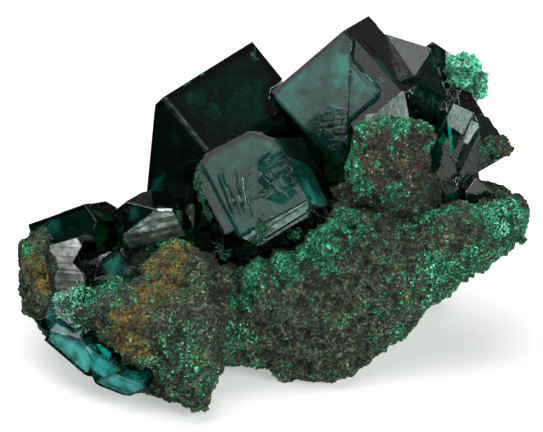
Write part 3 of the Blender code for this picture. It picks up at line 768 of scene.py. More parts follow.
# Clouds of tiny fractures, in millimetres: the crystal, a place on its face, how far the cloud reaches
# along the face, how deep it lies, how many fractures it has and how large they are.
CLOUDS = (
    ("crystal_group_summit", (7.2, 6.4, 26.0), 1.5, (0.25, 1.6), 1300, (0.05, 0.13)),
    ("crystal_group_summit", (9.2, 5.9, 25.9), 0.7, (0.15, 1.0), 500, (0.05, 0.14)),
    ("crystal_group_summit", (10.4, 5.4, 24.9), 0.7, (0.15, 1.0), 500, (0.05, 0.14)),
    ("crystal_group_summit", (5.6, 6.2, 22.6), 0.8, (0.3, 1.2), 250, (0.05, 0.12)),
    ("crystal_group_summit", (3.4, 7.4, 23.6), 3.4, (0.8, 3.0), 700, (0.05, 0.11)),
    ("crystal_group_summit", (15.4, 8.5, 21.5), 2.2, (0.3, 1.8), 500, (0.05, 0.13)),
    ("crystal_group_summit", (18.5, 3.9, 20.5), 2.0, (0.3, 1.5), 500, (0.05, 0.13)),
    ("crystal_centre", (3.6, -5.0, 18.2), 1.2, (0.2, 1.3), 900, (0.05, 0.13)),
    ("crystal_centre", (4.2, -4.7, 16.9), 1.0, (0.2, 1.2), 700, (0.05, 0.13)),
    ("crystal_centre", (3.0, -6.5, 16.6), 0.8, (0.2, 1.0), 400, (0.05, 0.13)),
    ("crystal_centre", (-0.8, -4.3, 19.9), 1.1, (0.5, 2.0), 400, (0.05, 0.12)),
    ("crystal_back_left", (-4.5, 7.5, 21.0), 4.2, (1.2, 3.6), 1500, (0.05, 0.12)),
    ("crystal_back_left", (-1.6, 10.9, 26.2), 0.5, (0.1, 0.5), 120, (0.05, 0.14)),
    ("crystal_left_front", (-13.3, -1.0, 15.2), 1.7, (0.4, 1.8), 400, (0.05, 0.12)),
    ("crystal_left_front", (-10.3, -1.9, 14.6), 0.8, (0.2, 1.0), 250, (0.05, 0.13)),
    ("crystal_left_edge", (-21.6, 3.0, 10.6), 1.6, (0.15, 1.2), 400, (0.05, 0.13)),
    ("crystal_cluster_left", (-14.7, -6.9, 10.8), 2.0, (0.2, 1.3), 300, (0.05, 0.12)),
)
# Thin crack lines: the crystal, where they start, how many there are and how deep they lie.
CRACK_WEBS = (
    ("crystal_back_left", (-4.2, 7.4, 20.6), 26, (0.3, 1.6), 2.6),
    ("crystal_back_left", (-2.6, 8.2, 22.2), 10, (0.3, 1.2), 1.8),
    ("crystal_centre", (0.2, -5.3, 18.6), 22, (0.1, 0.9), 1.3),
    ("crystal_group_summit", (6.6, 6.0, 24.6), 10, (0.2, 1.0), 1.6),
)
RIM_CLOUDS = (
    ("crystal_rim_left", (-20.3, -9.0, 6.0), 0.9, (0.15, 1.4), 500, (0.06, 0.16)),
    ("crystal_rim_left", (-19.7, -10.1, 5.6), 1.0, (0.15, 1.4), 700, (0.06, 0.16)),
    ("crystal_rim_left", (-18.0, -12.0, 4.4), 1.2, (0.15, 1.6), 900, (0.06, 0.16)),
    ("crystal_rim_left", (-15.8, -13.8, 3.4), 1.2, (0.15, 1.6), 900, (0.06, 0.16)),
    ("crystal_rim_left", (-13.0, -15.4, 2.6), 1.0, (0.15, 1.4), 600, (0.06, 0.16)),
)


def inner_spot(surface, spot, offset, depth):
    """A point under a crystal's face, or nothing where that lies outside the crystal."""
    foot, normal, _, _ = surface.find_nearest(place(*spot))
    side = normal.orthogonal().normalized()
    point = foot + (side * offset[0] + normal.cross(side) * offset[1]) * MM - normal * depth * MM
    near, outward, _, _ = surface.find_nearest(point)
    return point if (point - near).dot(outward) < -0.08 * MM else None


def crystal_surface(name):
    mesh = cad_copy(name)
    surface = BVHTree.FromBMesh(mesh)
    mesh.free()
    return surface


def make_clouds(name, clouds, flake, material, slot, seed):
    """Clouds of tiny fractures, torn in wisps, as one piece."""
    dice = random.Random(seed)
    seeds = []
    for crystal, spot, reach, depths, count, widths in clouds:
        surface = crystal_surface(crystal)
        for _ in range(count):
            offset = dice.gauss(0, 0.55) * reach, dice.gauss(0, 0.55) * reach
            point = inner_spot(surface, spot, offset, dice.uniform(*depths))
            angles = [dice.uniform(0, math.tau) for _ in range(3)]
            width = dice.uniform(*widths) * MM
            if point is not None and noise.noise(point / MM / 0.9) > -0.12:
                seeds.append((point, angles, (width, width * 0.7, width * 0.15)))
    return strew(name, seeds, flake, material, slot)


# Cloudy zones, in millimetres: the crystal, a place on its face, how far the zone reaches along the face
# each way, its depth, how cloudy it is all over, and its cloudiest spots with their radius and cloudiness.
ZONES = (
    ("crystal_group_summit", (4.6, 6.9, 23.4), 6.5, 0.7, 0.2,
     (((7.6, 6.4, 25.6), 2.3, 1.0), ((9.6, 5.7, 25.0), 1.3, 1.0), ((6.0, 6.0, 22.6), 1.2, 0.9),
      ((1.6, 7.9, 22.6), 3.0, 0.7), ((4.6, 7.2, 25.2), 3.4, 0.42))),
    ("crystal_group_summit", (9.4, 5.8, 25.2), 2.4, 0.5, 0.5, (((9.4, 5.8, 25.4), 1.8, 1.0),)),
    ("crystal_back_left", (-4.5, 7.6, 21.2), 8.0, 1.4, 0.04,
     (((-5.6, 8.2, 22.0), 1.5, 0.4), ((-2.4, 8.8, 22.6), 2.6, 0.22), ((-7.6, 8.8, 22.0), 1.6, 0.2))),
    ("crystal_back_left", (-9.0, 7.6, 15.5), 6.0, 1.4, 0.02, (((-9.6, 8.4, 18.5), 1.5, 0.12),)),
    ("crystal_centre", (-2.6, -4.6, 18.4), 5.5, 0.8, 0.26,
     (((-1.6, -4.6, 19.2), 1.6, 0.3), ((-4.4, -4.0, 17.4), 1.6, 0.3))),
    ("crystal_centre", (3.3, -4.8, 18.0), 3.5, 0.6, 0.2,
     (((3.6, -5.2, 17.8), 1.5, 1.0), ((2.2, -4.2, 20.4), 1.0, 0.4), ((4.4, -4.2, 15.8), 1.6, 1.0))),
    ("crystal_left_front", (-13.0, -0.9, 14.2), 3.0, 0.8, 0.03, (((-13.4, -0.8, 14.4), 0.9, 0.3),)),
    ("crystal_left_edge", (-20.0, 1.9, 11.0), 4.0, 0.7, 0.03, (((-21.6, 3.0, 11.0), 1.3, 0.5),)),
    ("crystal_cluster_left", (-14.7, -6.9, 10.8), 4.0, 0.6, 0.1, (((-15.2, -5.6, 10.6), 1.6, 0.6),)),
    ("crystal_group_summit", (14.4, 11.1, 25.4), 3.5, 0.8, 0.04, ()),
    ("crystal_group_summit", (17.1, 12.9, 23.3), 3.0, 0.5, 0.04, ()),
    ("crystal_group_summit", (16.2, 7.5, 22.0), 3.0, 0.8, 0.04, (((15.4, 8.0, 23.4), 0.9, 0.4),)),
    ("crystal_group_summit", (17.6, 3.9, 19.9), 3.5, 0.5, 0.04, ()),
    ("crystal_group_summit", (18.1, 2.9, 19.2), 3.0, 0.5, 0.04, (((19.4, 2.4, 19.2), 0.9, 0.3),)),
    ("crystal_group_summit", (19.8, 4.2, 22.0), 3.0, 0.5, 0.04, ()),
    ("crystal_group_summit", (15.9, 10.4, 22.7), 3.0, 0.5, 0.04, ()),
)
# The thin lower edge of the crystal on the left rim is its brightest part.
RIM_GLOW = tuple((spot, 1.3, 1.0) for spot in (
    (-20.6, -9.2, 6.0), (-19.7, -10.1, 5.4), (-18.8, -11.2, 4.8), (-17.6, -12.4, 4.0), (-16.2, -13.6, 3.4),
    (-14.6, -14.8, 2.9), (-12.8, -15.6, 2.5)))
RIM_ZONES = (
    ("crystal_rim_left", (-20.2, -9.8, 6.5), 3.5, 0.3, 0.3, RIM_GLOW),
    ("crystal_rim_left", (-17.8, -12.0, 5.0), 4.0, 0.3, 0.3, RIM_GLOW),
    ("crystal_rim_left", (-13.5, -15.0, 3.4), 4.0, 0.3, 0.35, RIM_GLOW),
    ("crystal_rim_left", (-18.7, -11.0, 7.0), 4.5, 0.25, 0.12, (((-16.0, -13.4, 5.0), 1.8, 0.7),)),
)


def cloudiness(point, all_over, spots):
    """How cloudy a zone is at a point, in millimetres."""
    torn = noise.fractal(point / 1.5, 0.6, 2.1, 4)
    most = all_over * (1 + 0.5 * torn)
    for spot, radius, amount in spots:
        away = (point - Vector(spot)).length / radius
        most = max(most, amount * min(1.0, max(0.0, 1.35 - away + 0.5 * torn)))
    return most


def make_zones(name, zones, material, slot):
    """Wavy sheets inside the crystals, each under a face, that fade before they reach the other faces."""
    cell = 0.18 * MM
    whole = bmesh.new()
    whole.verts.layers.float.new("haze")
    for crystal, spot, reach, depth, all_over, spots in zones:
        surface = crystal_surface(crystal)
        foot, normal, _, _ = surface.find_nearest(place(*spot))
        side = normal.orthogonal().normalized()
        axes = Matrix((side, normal.cross(side), normal)).transposed().to_4x4()
        sheet = bmesh.new()
        haze = sheet.verts.layers.float.new("haze")
        cells = round(2 * reach * MM / cell)
        bmesh.ops.create_grid(sheet, x_segments=cells, y_segments=cells, size=reach * MM,
                              matrix=Matrix.Translation(foot - normal * depth * MM) @ axes)
        outside = []
        for vertex in sheet.verts:
            vertex.co += normal * 0.2 * depth * MM * noise.noise(vertex.co / MM / 1.8)
            near, outward, _, away = surface.find_nearest(vertex.co)
            if (vertex.co - near).dot(outward) > -0.3 * depth * MM:
                outside.append(vertex)
            fade = min(1.0, max(0.0, away / (depth * MM) * 1.8 - 0.6))
            vertex[haze] = fade * cloudiness(vertex.co / MM - ORIGIN, all_over, spots)
        bmesh.ops.delete(sheet, geom=outside, context="VERTS")
        bmesh.ops.solidify(sheet, geom=sheet.faces, thickness=0.03 * MM)
        scrap = bpy.data.meshes.new("scrap")
        sheet.to_mesh(scrap)
        sheet.free()
        whole.from_mesh(scrap)
        bpy.data.meshes.remove(scrap)
    return finish_piece(name, whole, material, slot)


def make_cracks(flake, material):
    """Webs of thin cracks, each a chain of narrow flakes that wanders under a face."""
    dice = random.Random(21)
    seeds = []
    for crystal, spot, count, depths, reach in CRACK_WEBS:
        surface = crystal_surface(crystal)
        _, normal, _, _ = surface.find_nearest(place(*spot))
        side = normal.orthogonal().normalized()
        other = normal.cross(side)
        for _ in range(count):
            depth = dice.uniform(*depths)
            offset = Vector((dice.gauss(0, 0.5) * reach, dice.gauss(0, 0.5) * reach))
            heading = dice.uniform(0, math.tau)
            for _ in range(dice.randint(3, 9)):
                heading += dice.gauss(0, 0.45)
                step = dice.uniform(0.12, 0.3)
                offset += Vector((math.cos(heading), math.sin(heading))) * step
                point = inner_spot(surface, spot, offset, depth)
                if point is not None:
                    along = side * math.cos(heading) + other * math.sin(heading)
                    turn = Matrix((along, normal.cross(along), normal)).transposed().to_euler()
                    seeds.append((point, turn, (step * MM, dice.uniform(0.015, 0.035) * MM, 0.01 * MM)))
    return strew("crack_webs", seeds, flake, material, "crystal_centre")


# The rock.

def weather(mesh, height, size):
    """Roughen a fine rock mesh with lumps, ledges, pits and grit, and mark its hollows, where the rock gets painted
    shade.
    """
    mesh.normal_update()
    hollow = mesh.verts.layers.float.new("hollow")
    moves = []
    for vertex in mesh.verts:
        point = vertex.co / MM
        lumps = noise.fractal(point / size, 0.7, 2.0, 3)
        ridge = 0.5 - 1.5 * abs(noise.noise(point / (size * 0.45) + Vector((3, 1, 4))))
        pit = 0.6 * max(0.0, noise.fractal(point / 1.5 + Vector((5, 8, 2)), 0.8, 2.3, 4) - 0.1)
        grit = noise.noise(point / 0.5) * 0.35 + noise.noise(point / 0.26) * 0.25
        small = 0.6 * ridge - 1.5 * pit + grit
        vertex[hollow] = min(1.0, max(0.0, 0.25 - 1.6 * small))
        moves.append(vertex.normal * (0.6 * lumps + small - 0.2) * height * MM)
    for vertex, move in zip(mesh.verts, moves):
        vertex.co += move


def settle_on_crystals(mesh, surfaces):
    """Draw the rock into the crystals that stand in it, so that no gap shows round them, and mark it there."""
    sunk = mesh.verts.layers.float.new("sunk")
    for vertex in mesh.verts:
        best = None
        for surface in surfaces:
            spot, outward, _, away = surface.find_nearest(vertex.co, 0.5 * MM)
            if spot is None:
                continue
            vertex[sunk] = 1.0
            if (vertex.co - spot).dot(outward) > 0 and (best is None or away < best[2]):
                best = (spot, outward, away)
        if best is not None:
            vertex.co = best[0] - best[1] * 0.12 * MM


def keep_inside(mesh, margin):
    """Keep a rock's surface inside the part's box, with room for the grains that stand on it."""
    low, high = CAD_BOX
    for vertex in mesh.verts:
        for axis in (0, 1):
            vertex.co[axis] = min(max(vertex.co[axis], low[axis] + margin), high[axis] - margin)
        vertex.co.z = max(vertex.co.z, 0.0)


# The open pocket in front of the left crystal: its middle, its half sizes along X and Y, and how high
# its floor stands at the middle and how much that falls for each millimetre further back.
POCKET = ((-19.2, -3.4), (2.1, 5.2), 6.6, -0.4)


def open_pocket(mesh):
    """Sink the rock's top in the pocket, so that the layered crystal behind it shows."""
    middle, half, floor, fall = POCKET
    for vertex in mesh.verts:
        point = vertex.co / MM - ORIGIN
        away = math.hypot((point.x - middle[0]) / half[0], (point.y - middle[1]) / half[1])
        lowest = floor + fall * (point.y - middle[1]) + 0.5 * noise.noise(point / 1.1)
        if away < 1 and point.z > lowest:
            share = min(1.0, (1 - away) * 6)
            vertex.co.z += (lowest - point.z) * share * MM


# Where the rock's green crust lies, in millimetres: middle, radius, amount.
GREEN_PATCHES = (
    ((-2.0, -8.5, 11.5), 2.4, 0.7), ((1.5, -8.0, 12.5), 2.6, 0.75), ((4.5, -6.8, 14.0), 3.0, 0.9),
    ((7.5, -5.5, 15.2), 2.2, 0.7), ((12.0, -4.0, 14.6), 2.4, 0.45), ((16.0, -3.5, 14.6), 2.6, 0.5),
    ((20.5, -3.5, 14.8), 3.0, 0.6), ((24.0, -2.0, 13.0), 3.0, 0.8), ((-8.0, -17.5, 6.5), 4.2, 0.28),
    ((-6.0, -16.0, 3.5), 4.0, 0.28), ((22.1, -4.0, 11.4), 1.4, 0.5), ((19.7, -5.0, 9.7), 1.4, 0.5),
    ((16.9, -5.4, 8.0), 1.3, 0.5), ((14.5, -5.6, 6.4), 1.2, 0.5), ((12.1, -6.8, 4.8), 1.2, 0.45),
    ((-17.5, -8.5, 9.3), 2.2, 0.9), ((-15.0, -9.5, 9.6), 1.8, 0.8),
    ((-2.5, -9.4, 5.0), 2.2, 0.4), ((-3.0, -8.2, 8.0), 1.6, 0.45), ((16.0, -6.0, 10.0), 3.0, 0.4),
    ((20.0, -4.5, 11.0), 3.0, 0.4), ((0.0, 14.0, 9.0), 6.0, 0.5), ((-12.0, 8.0, 8.0), 5.0, 0.5),
    ((14.0, 13.0, 12.0), 5.0, 0.6), ((-9.0, -5.0, 12.6), 1.8, 0.5), ((-23.5, -3.0, 11.4), 1.6, 0.6),
    ((8.3, -2.2, 23.9), 1.3, 0.8), ((10.2, -2.2, 24.0), 1.4, 0.9), ((12.2, -2.6, 24.0), 1.4, 0.8),
    ((14.3, -3.0, 23.9), 1.2, 0.8), ((15.2, -3.2, 22.0), 0.9, 0.6), ((7.3, -2.2, 21.2), 1.4, 0.9),
    ((7.4, -3.4, 19.4), 1.4, 0.9), ((8.4, -3.9, 17.7), 1.3, 0.8), ((11.2, -4.3, 17.4), 1.2, 0.6),
    ((10.0, -4.1, 20.2), 0.7, 0.5), ((19.2, 10.6, 24.4), 3.4, 1.0), ((20.6, 1.4, 19.4), 1.6, 0.55),
)
RUST_PATCHES = (
    ((-9.5, -7.9, 12.1), 2.6, 0.9), ((-10.3, -11.0, 11.1), 2.6, 0.9), ((-8.6, -5.9, 12.9), 1.8, 0.8),
    ((-11.4, -13.0, 10.4), 1.8, 0.8), ((-13.3, -15.9, 9.7), 2.2, 0.9), ((-13.8, -15.4, 7.2), 2.5, 0.9),
    ((-15.3, -13.4, 7.4), 1.6, 0.8), ((-12.4, -16.6, 7.1), 1.8, 0.8), ((-22.3, -4.9, 10.5), 2.0, 0.9),
    ((-22.9, -3.4, 11.4), 1.6, 0.8), ((-21.6, -5.6, 8.8), 1.4, 0.7),
)
# Painted shade in the rock's deep clefts, in millimetres: middle, radius, amount.
DEEP_SHADES = (((-5.4, -6.0, 12.0), 2.4, 0.9), ((-4.2, -9.0, 9.4), 1.8, 0.8), ((-5.0, -12.5, 6.6), 2.0, 0.6))
# Green threads cross the rock of the lower left foot more than elsewhere.
FOOT = Vector((-7.0, -16.5, 5.0))
# No grain stands on the rock lower than this, in millimetres.
CLEAR_OF_GROUND = 0.7


def patch_amount(patches, point, seed):
    """How much of a patch lies at a point, with a ragged edge."""
    ragged = noise.fractal(point / 1.6 + Vector((seed, 0, 0)), 0.7, 2.2, 5)
    most = 0.0
    for middle, radius, amount in patches:
        away = (point - Vector(middle)).length / radius
        if away < 1.7:
            most = max(most, amount * min(1.0, max(0.0, 1.3 - away + 0.7 * ragged)))
    return most


def thread_amount(point):
    """Thin threads of green that branch over the rock."""
    thread = 1 - abs(noise.noise(point / 1.5 + Vector((9, 2, 5)))) * 11
    thicket = noise.fractal(point / 4.5 + Vector((2, 7, 1)), 0.6, 2.0, 3)
    thicket += 0.3 * max(0.0, 1 - (point - FOOT).length / 7)
    return max(0.0, thread) * min(1.0, max(0.0, thicket * 2.5))


def stain_and_paint_shade(data):
    """Write the rock's green crust, rust, painted deep shade and grains on its mesh as attributes."""
    names = ("green", "rust", "deep", "grains")
    for name in names:
        data.attributes.new(name, "FLOAT", "POINT")
    layers = {name: data.attributes[name] for name in (*names, "sunk")}
    for index, vertex in enumerate(data.vertices):
        point = vertex.co / MM - ORIGIN
        clear = 1.0 if point.z > CLEAR_OF_GROUND and layers["sunk"].data[index].value < 0.5 else 0.0
        under = max(0.0, -vertex.normal.z) * 0.45
        green = max(patch_amount(GREEN_PATCHES, point, 0), 0.75 * thread_amount(point), under)
        layers["green"].data[index].value = green * clear
        layers["rust"].data[index].value = patch_amount(RUST_PATCHES, point, 20)
        layers["deep"].data[index].value = patch_amount(DEEP_SHADES, point, 40)
        layers["grains"].data[index].value = clear


def make_rock(name, surfaces, voxel, height, size, material):
    """A lump of rock on a fine grid, weathered, stained and marked for painted shade, in place of its plain solid.
    """
    item = scratch_object(cad_copy(name))
    apply_modifier(item, "REMESH", mode="VOXEL", voxel_size=voxel * MM, adaptivity=0.0)
    mesh = bmesh.new()
    mesh.from_mesh(item.data)
    drop(item)
    if name == "matrix":
        open_pocket(mesh)
    weather(mesh, height, size)
    settle_on_crystals(mesh, surfaces)
    keep_inside(mesh, 0.2 * MM)
    for face in mesh.faces:
        face.smooth = True
    piece = finish_piece(name + "_weathered", mesh, material, name, name)
    stain_and_paint_shade(piece.data)
    return piece


def druse_point():
    """One tiny crystal, pointing up: a six-sided point."""
    mesh = bmesh.new()
    bmesh.ops.create_cone(mesh, cap_ends=True, segments=6, radius1=0.42, radius2=0.0, depth=2.0)
    return scratch_object(mesh)


def rock_grain():
    """A worn grain with eight faces."""
    mesh = bmesh.new()
    bmesh.ops.create_uvsphere(mesh, u_segments=4, v_segments=2, radius=0.5)
    for face in mesh.faces:
        face.smooth = True
    return scratch_object(mesh)


def flake():
    """A flat six-sided flake."""
    mesh = bmesh.new()
    bmesh.ops.create_cone(mesh, cap_ends=True, segments=4, radius1=0.5, radius2=0.3, depth=1.0)
    return scratch_object(mesh)


def scatter(name, ground, attribute, least, shape, density, sizes, tilt, seed, material, slot):
    """Stand copies of a shape all over a rock, as thickly as its attribute says, as one joined mesh."""
    tree = bpy.data.node_groups.new(name, "GeometryNodeTree")
    tree.interface.new_socket("Geometry", in_out="INPUT", socket_type="NodeSocketGeometry")
    tree.interface.new_socket("Geometry", in_out="OUTPUT", socket_type="NodeSocketGeometry")
    amount = add_node(tree, "GeometryNodeInputNamedAttribute", {"Name": attribute}, data_type="FLOAT")
    thick = add_node(tree, "ShaderNodeMapRange", {
        "Value": amount.outputs["Attribute"], "From Min": least, "From Max": least + 0.4,
        "To Min": 0.0, "To Max": density})
    points = add_node(tree, "GeometryNodeDistributePointsOnFaces", {
        "Mesh": add_node(tree, "NodeGroupInput").outputs[0], "Density": thick.outputs[0], "Seed": seed})
    lean = add_node(tree, "FunctionNodeRandomValue", {
        0: (-tilt, -tilt, -math.pi), 1: (tilt, tilt, math.pi), "Seed": seed + 1}, data_type="FLOAT_VECTOR")
    turn = add_node(tree, "FunctionNodeRotateRotation", {
        "Rotation": points.outputs["Rotation"], "Rotate By": lean.outputs[0]}, rotation_space="LOCAL")
    scale = add_node(tree, "FunctionNodeRandomValue", {
        2: sizes[0] * MM, 3: sizes[1] * MM, "Seed": seed + 2}, data_type="FLOAT")
    stood = add_node(tree, "GeometryNodeInstanceOnPoints", {
        "Points": points.outputs["Points"],
        "Instance": add_node(tree, "GeometryNodeObjectInfo", {"Object": shape}).outputs["Geometry"],
        "Rotation": turn.outputs[0], "Scale": scale.outputs[1]})
    real = add_node(tree, "GeometryNodeRealizeInstances", {"Geometry": stood.outputs[0]})
    add_node(tree, "NodeGroupOutput", {0: real.outputs[0]})
    item = bpy.data.objects.new(name, ground.data.copy())
    bpy.context.scene.collection.objects.link(item)
    apply_modifier(item, "NODES", node_group=tree)
    bpy.data.node_groups.remove(tree)
    return finish_data(name, take_data(item), material, slot)


# Druse on the crystals themselves, in millimetres: the crystal, a place, its reach and its count.
TUFTS = (
    ("crystal_centre", (-6.9, -2.0, 19.0), 0.7, 90), ("crystal_centre", (-6.9, -2.5, 17.8), 0.7, 100),
    ("crystal_centre", (-6.6, -3.2, 16.6), 0.6, 90), ("crystal_centre", (-6.2, -4.0, 15.4), 0.6, 80),
    ("crystal_centre", (-0.9, -6.9, 15.2), 0.75, 260), ("crystal_centre", (-1.2, -6.6, 14.0), 0.7, 160),
    ("crystal_centre", (-4.6, -5.0, 11.8), 0.7, 120), ("crystal_centre", (2.2, -6.5, 14.2), 0.6, 90),
    ("crystal_left_front", (-9.2, -1.7, 14.0), 0.7, 120), ("crystal_left_edge", (-22.4, 1.6, 10.4), 0.8, 90),
    ("crystal_rim_left", (-19.0, -8.6, 8.2), 1.2, 260), ("crystal_rim_left", (-18.0, -10.4, 7.4), 1.0, 160),
)
# The brightest druse, round the top of the crystal on the left rim and at the far right.
BRIGHT_TUFTS = (
    ("crystal_rim_left", (-19.8, -8.0, 8.6), 0.9, 90), ("crystal_rim_left", (-18.6, -8.6, 8.4), 0.9, 90),
    ("crystal_rim_left", (-18.9, -9.8, 7.8), 0.8, 40), ("crystal_rim_left", (-17.6, -10.7, 7.4), 0.9, 70),
    ("matrix", (-18.2, -8.2, 8.9), 0.9, 80), ("matrix", (-17.0, -8.6, 8.4), 1.0, 100),
    ("matrix", (21.6, -2.9, 15.8), 0.9, 70), ("matrix", (23.1, -2.1, 14.5), 0.9, 110),
    ("matrix", (22.0, -4.4, 13.9), 0.9, 60), ("matrix", (20.6, -4.0, 15.2), 0.8, 50),
)


def make_tufts(name, tufts, point, material, slot, seed):
    """Little tufts of druse crystals, as one piece."""
    dice = random.Random(seed)
    seeds = []
    for crystal, spot, reach, count in tufts:
        surface = crystal_surface(crystal)
        for _ in range(count):
            around = Vector([dice.gauss(0, 0.5) * reach * MM for _ in range(3)])
            foot, normal, _, _ = surface.find_nearest(place(*spot) + around)
            away = normal + Vector([dice.uniform(-0.8, 0.8) for _ in range(3)])
            size = dice.uniform(0.09, 0.26) * MM
            seeds.append((foot + normal * size * 0.3, away.to_track_quat("Z", "Y").to_euler(), (size,) * 3))
    return strew(name, seeds, point, material, slot)


# Studio.

def softbox(name, towards, away, width, height, radiance):
    """A soft area light out in a direction from the specimen, facing it; radiance is how bright it looks."""
    lamp = bpy.data.lights.new(name, "AREA")
    lamp.shape = "RECTANGLE"
    lamp.size = width
    lamp.size_y = height
    lamp.energy = radiance * math.pi * width * height
    item = bpy.data.objects.new(name, lamp)
    bpy.context.scene.collection.objects.link(item)
    direction = Vector(towards).normalized()
    item.location = place(0, 0, 13.5) + direction * away
    item.rotation_mode = "QUATERNION"
    item.rotation_quaternion = direction.to_track_quat("Z", "Y")
    item.visible_camera = False
    return item


def flag(name, middle, half, facing):
    """A black card beside the specimen, which only shows as a dark reflection in its crystals."""
    mesh = bmesh.new()
    turn = Vector(facing).to_track_quat("Z", "Y").to_matrix().to_4x4()
    bmesh.ops.create_grid(mesh, x_segments=1, y_segments=1, size=1.0, matrix=(
        Matrix.Translation(middle) @ turn @ Matrix.Diagonal((*half, 1.0, 1.0))))
    card = scratch_object(mesh)
    card.name = name
    material, tree = new_material("black_card")
    shader = add_node(tree, "ShaderNodeBsdfPrincipled", {
        "Base Color": linear("#0a0a0a"), "Roughness": 0.9, "Specular IOR Level": 0.1})
    add_node(tree, "ShaderNodeOutputMaterial", {"Surface": shader.outputs[0]})
    card.data.materials.append(material)
    card.visible_camera = False
    card.visible_diffuse = False
    card.visible_transmission = False
    card.visible_shadow = False


def make_studio():
    mesh = bmesh.new()
    bmesh.ops.create_grid(mesh, x_segments=1, y_segments=1, size=2.5)
    bmesh.ops.translate(mesh, vec=(0, 0, -0.00005), verts=mesh.verts)
    floor = scratch_object(mesh)
    floor.name = "floor"
    material, tree = new_material("matt_paper")
    where = add_node(tree, "ShaderNodeTexCoord").outputs["Object"]
    tooth = add_node(tree, "ShaderNodeTexNoise", {"Vector": where, "Scale": 900.0})
    bump = add_node(tree, "ShaderNodeBump", {"Height": tooth.outputs["Fac"], "Strength": 0.05, "Distance": 0.0001})
    shader = add_node(tree, "ShaderNodeBsdfPrincipled", {
        "Base Color": linear("#f6f6f4"), "Roughness": 0.9, "Specular IOR Level": 0.2, "Normal": bump.outputs[0],
        "Emission Color": linear("#ffffff"), "Emission Strength": 0.4})
    add_node(tree, "ShaderNodeOutputMaterial", {"Surface": shader.outputs[0]})
    floor.data.materials.append(material)
    world = bpy.data.worlds.new("studio")
    bpy.context.scene.world = world
    world.use_nodes = True
    world.node_tree.nodes["Background"].inputs["Color"].default_value = linear("#ffffff")
    world.node_tree.nodes["Background"].inputs["Strength"].default_value = 0.09
    softbox("top", (-0.2, 0.15, 0.97), 1.0, 1.2, 1.2, 2.1)
    softbox("front_right", (0.5, -0.7, 0.45), 1.1, 0.5, 0.5, 8.0)
    softbox("front_left_low", (-0.52, -0.84, 0.17), 1.1, 0.84, 0.3, 0.95)
    softbox("front_left_high", (-0.62, -0.6, 0.5), 1.1, 0.4, 0.4, 0.95)
    softbox("left_high", (-0.85, -0.2, 0.6), 1.1, 0.4, 0.4, 3.0)
    flag("flag_low", (-0.0775, -0.03, 0.0005), (0.0675, 0.06), (0, 0, 1))
    flag("flag_left", (-0.145, -0.03, 0.02), (0.06, 0.02), (1, 0, 0))
    flag("flag_front", (0.005, -0.024, 0.0005), (0.03, 0.013), (0, 0, 1))


def make_camera():
    camera = bpy.data.cameras.new("camera")
    camera.lens = 180
    camera.sensor_width = 36
    camera.clip_start = 0.02
    camera.clip_end = 10
    item = bpy.data.objects.new("camera", camera)
    bpy.context.scene.collection.objects.link(item)
    height = math.radians(22)
    back = Vector((0, -math.cos(height), math.sin(height)))
    item.location = place(0, 0, 13.5) + back * 0.26
    item.rotation_mode = "QUATERNION"
    item.rotation_quaternion = back.to_track_quat("Z", "Y")
    bpy.context.scene.camera = item


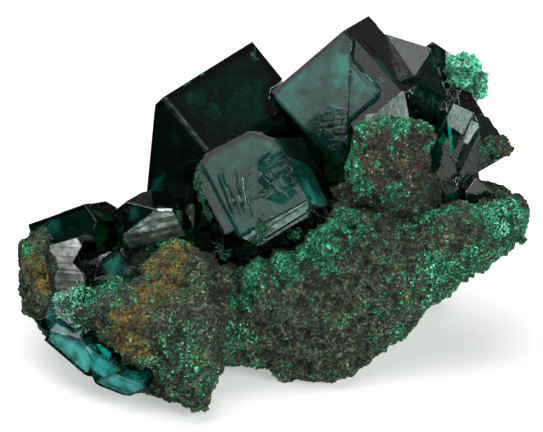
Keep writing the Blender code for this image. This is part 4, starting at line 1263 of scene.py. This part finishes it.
def main():
    dark = dioptase("dioptase_dark", (0.035, 0.81, 0.745, 1.0), 1900.0, 0.03)
    pale = dioptase("dioptase_pale", (0.02, 0.92, 0.90, 1.0), 2000.0, 0.1)
    brown_ore = ore("weathered_ore", BROWN_GRAINS, GREEN_GRAINS)
    red_ore = ore("iron_stained_ore", RED_GRAINS, GREEN_GRAINS)
    green_ore = ore("druse_ground", KNOB_GRAINS, KNOB_GRAINS)
    crust = druse_green("druse_green", "#0e4a30", "#2a9163", 0.3)
    bright = druse_green("druse_bright", "#2fae7e", "#a4efd2", 0.2)
    fracture = healed_fracture()
    # A darker copy of the druse green, for the tufts on the crystals: painted shade.
    shaded = druse_green("druse_shaded", "#06261a", "#1f7553", 0.2)
    silver = cleavage("cleavage_silver", "#7f948c", "#cfe0d8", 0.2, 0.85)
    gray = cleavage("cleavage_gray", "#34443e", "#76897f", 0.25, 0.85)
    slate = cleavage("cleavage_slate", "#4f675e", "#93aca2", 0.3, 0.35)
    frosted = cleavage("cleavage_frosted", "#7c8f87", "#bccfc6", 0.3, 0.3, 4600.0, 0.06)
    # The pearly finish's colour is raised near white to make up for the shade of the pocket it lies in: partly real
    # sheen, partly painted light.
    pearly_sheen_and_painted_light = cleavage("cleavage_pearly", "#a9b3ae", "#fbfdfc", 0.25, 0.3)
    cloudy = cloudy_zone()

    for index, name in enumerate(BIG_CRYSTALS):
        make_crystal(name, dark, 0.06, 14, index + 1, 4.0)
    for index, name in enumerate(SMALL_CRYSTALS):
        make_crystal(name, dark, 0.035, 0, index + 30, 1.5)
    make_crystal("crystal_rim_left", pale, 0.05, 0, 40, 2.0)
    make_striated_faces(silver, gray, slate, frosted, pearly_sheen_and_painted_light)
    thin_flake = flake()
    make_clouds("healed_fractures", CLOUDS, thin_flake, fracture, "crystal_centre", 11)
    make_clouds("healed_fractures_rim", RIM_CLOUDS, thin_flake, fracture, "crystal_rim_left", 12)
    make_cracks(thin_flake, fracture)
    make_zones("cloudy_zones", ZONES, cloudy, "crystal_centre")
    make_zones("cloudy_zones_rim", RIM_ZONES, cloudy, "crystal_rim_left")
    drop(thin_flake)

    surfaces = [crystal_surface(name) for name in (*BIG_CRYSTALS, *SMALL_CRYSTALS, "crystal_rim_left")]
    point = druse_point()
    grain = rock_grain()
    matrix = make_rock("matrix", surfaces, 0.26, 0.75, 3.0, brown_ore)
    for seed, tag in ((50, "coarse"), (60, "fine")):
        scatter("matrix_grains_" + tag, matrix, "grains", 0.4, grain, 4.3e6, (0.08, 0.26), 1.5, seed,
                brown_ore, "matrix")
    scatter("matrix_druse", matrix, "green", 0.3, point, 34.0e6, (0.06, 0.14), 0.8, 5, crust, "matrix")
    scatter("matrix_druse_bright", matrix, "green", 0.35, point, 4.5e6, (0.06, 0.18), 0.9, 9, bright, "matrix")
    for node, voxel, height, size, stone, dull, shiny in (
            ("matrix_lump_perched", 0.14, 0.5, 2.0, red_ore, 40.0e6, 10.0e6),
            ("matrix_lump_right", 0.12, 0.5, 2.0, red_ore, 40.0e6, 10.0e6),
            ("druse_knob_top", 0.12, 0.5, 1.3, green_ore, 3.0e6, 7.0e6)):
        lump = make_rock(node, surfaces, voxel, height, size, stone)
        scatter(node + "_grains", lump, "grains", 0.4, grain, 5.0e6, (0.08, 0.26), 1.5, 70, stone, node)
        scatter(node + "_druse", lump, "green", 0.2, point, dull, (0.06, 0.15), 0.8, 15, crust, node)
        scatter(node + "_druse_bright", lump, "green", 0.35, point, shiny, (0.07, 0.2), 0.8, 25, bright, node)
    make_tufts("druse_tufts", TUFTS, point, shaded, "druse_knob_top", 31)
    make_tufts("druse_tufts_bright", BRIGHT_TUFTS, point, bright, "druse_knob_top", 32)
    drop(point)
    drop(grain)
    make_studio()
    make_camera()
    scene = bpy.context.scene
    scene.view_settings.view_transform = "Standard"
    scene.cycles.use_denoising = True


main()
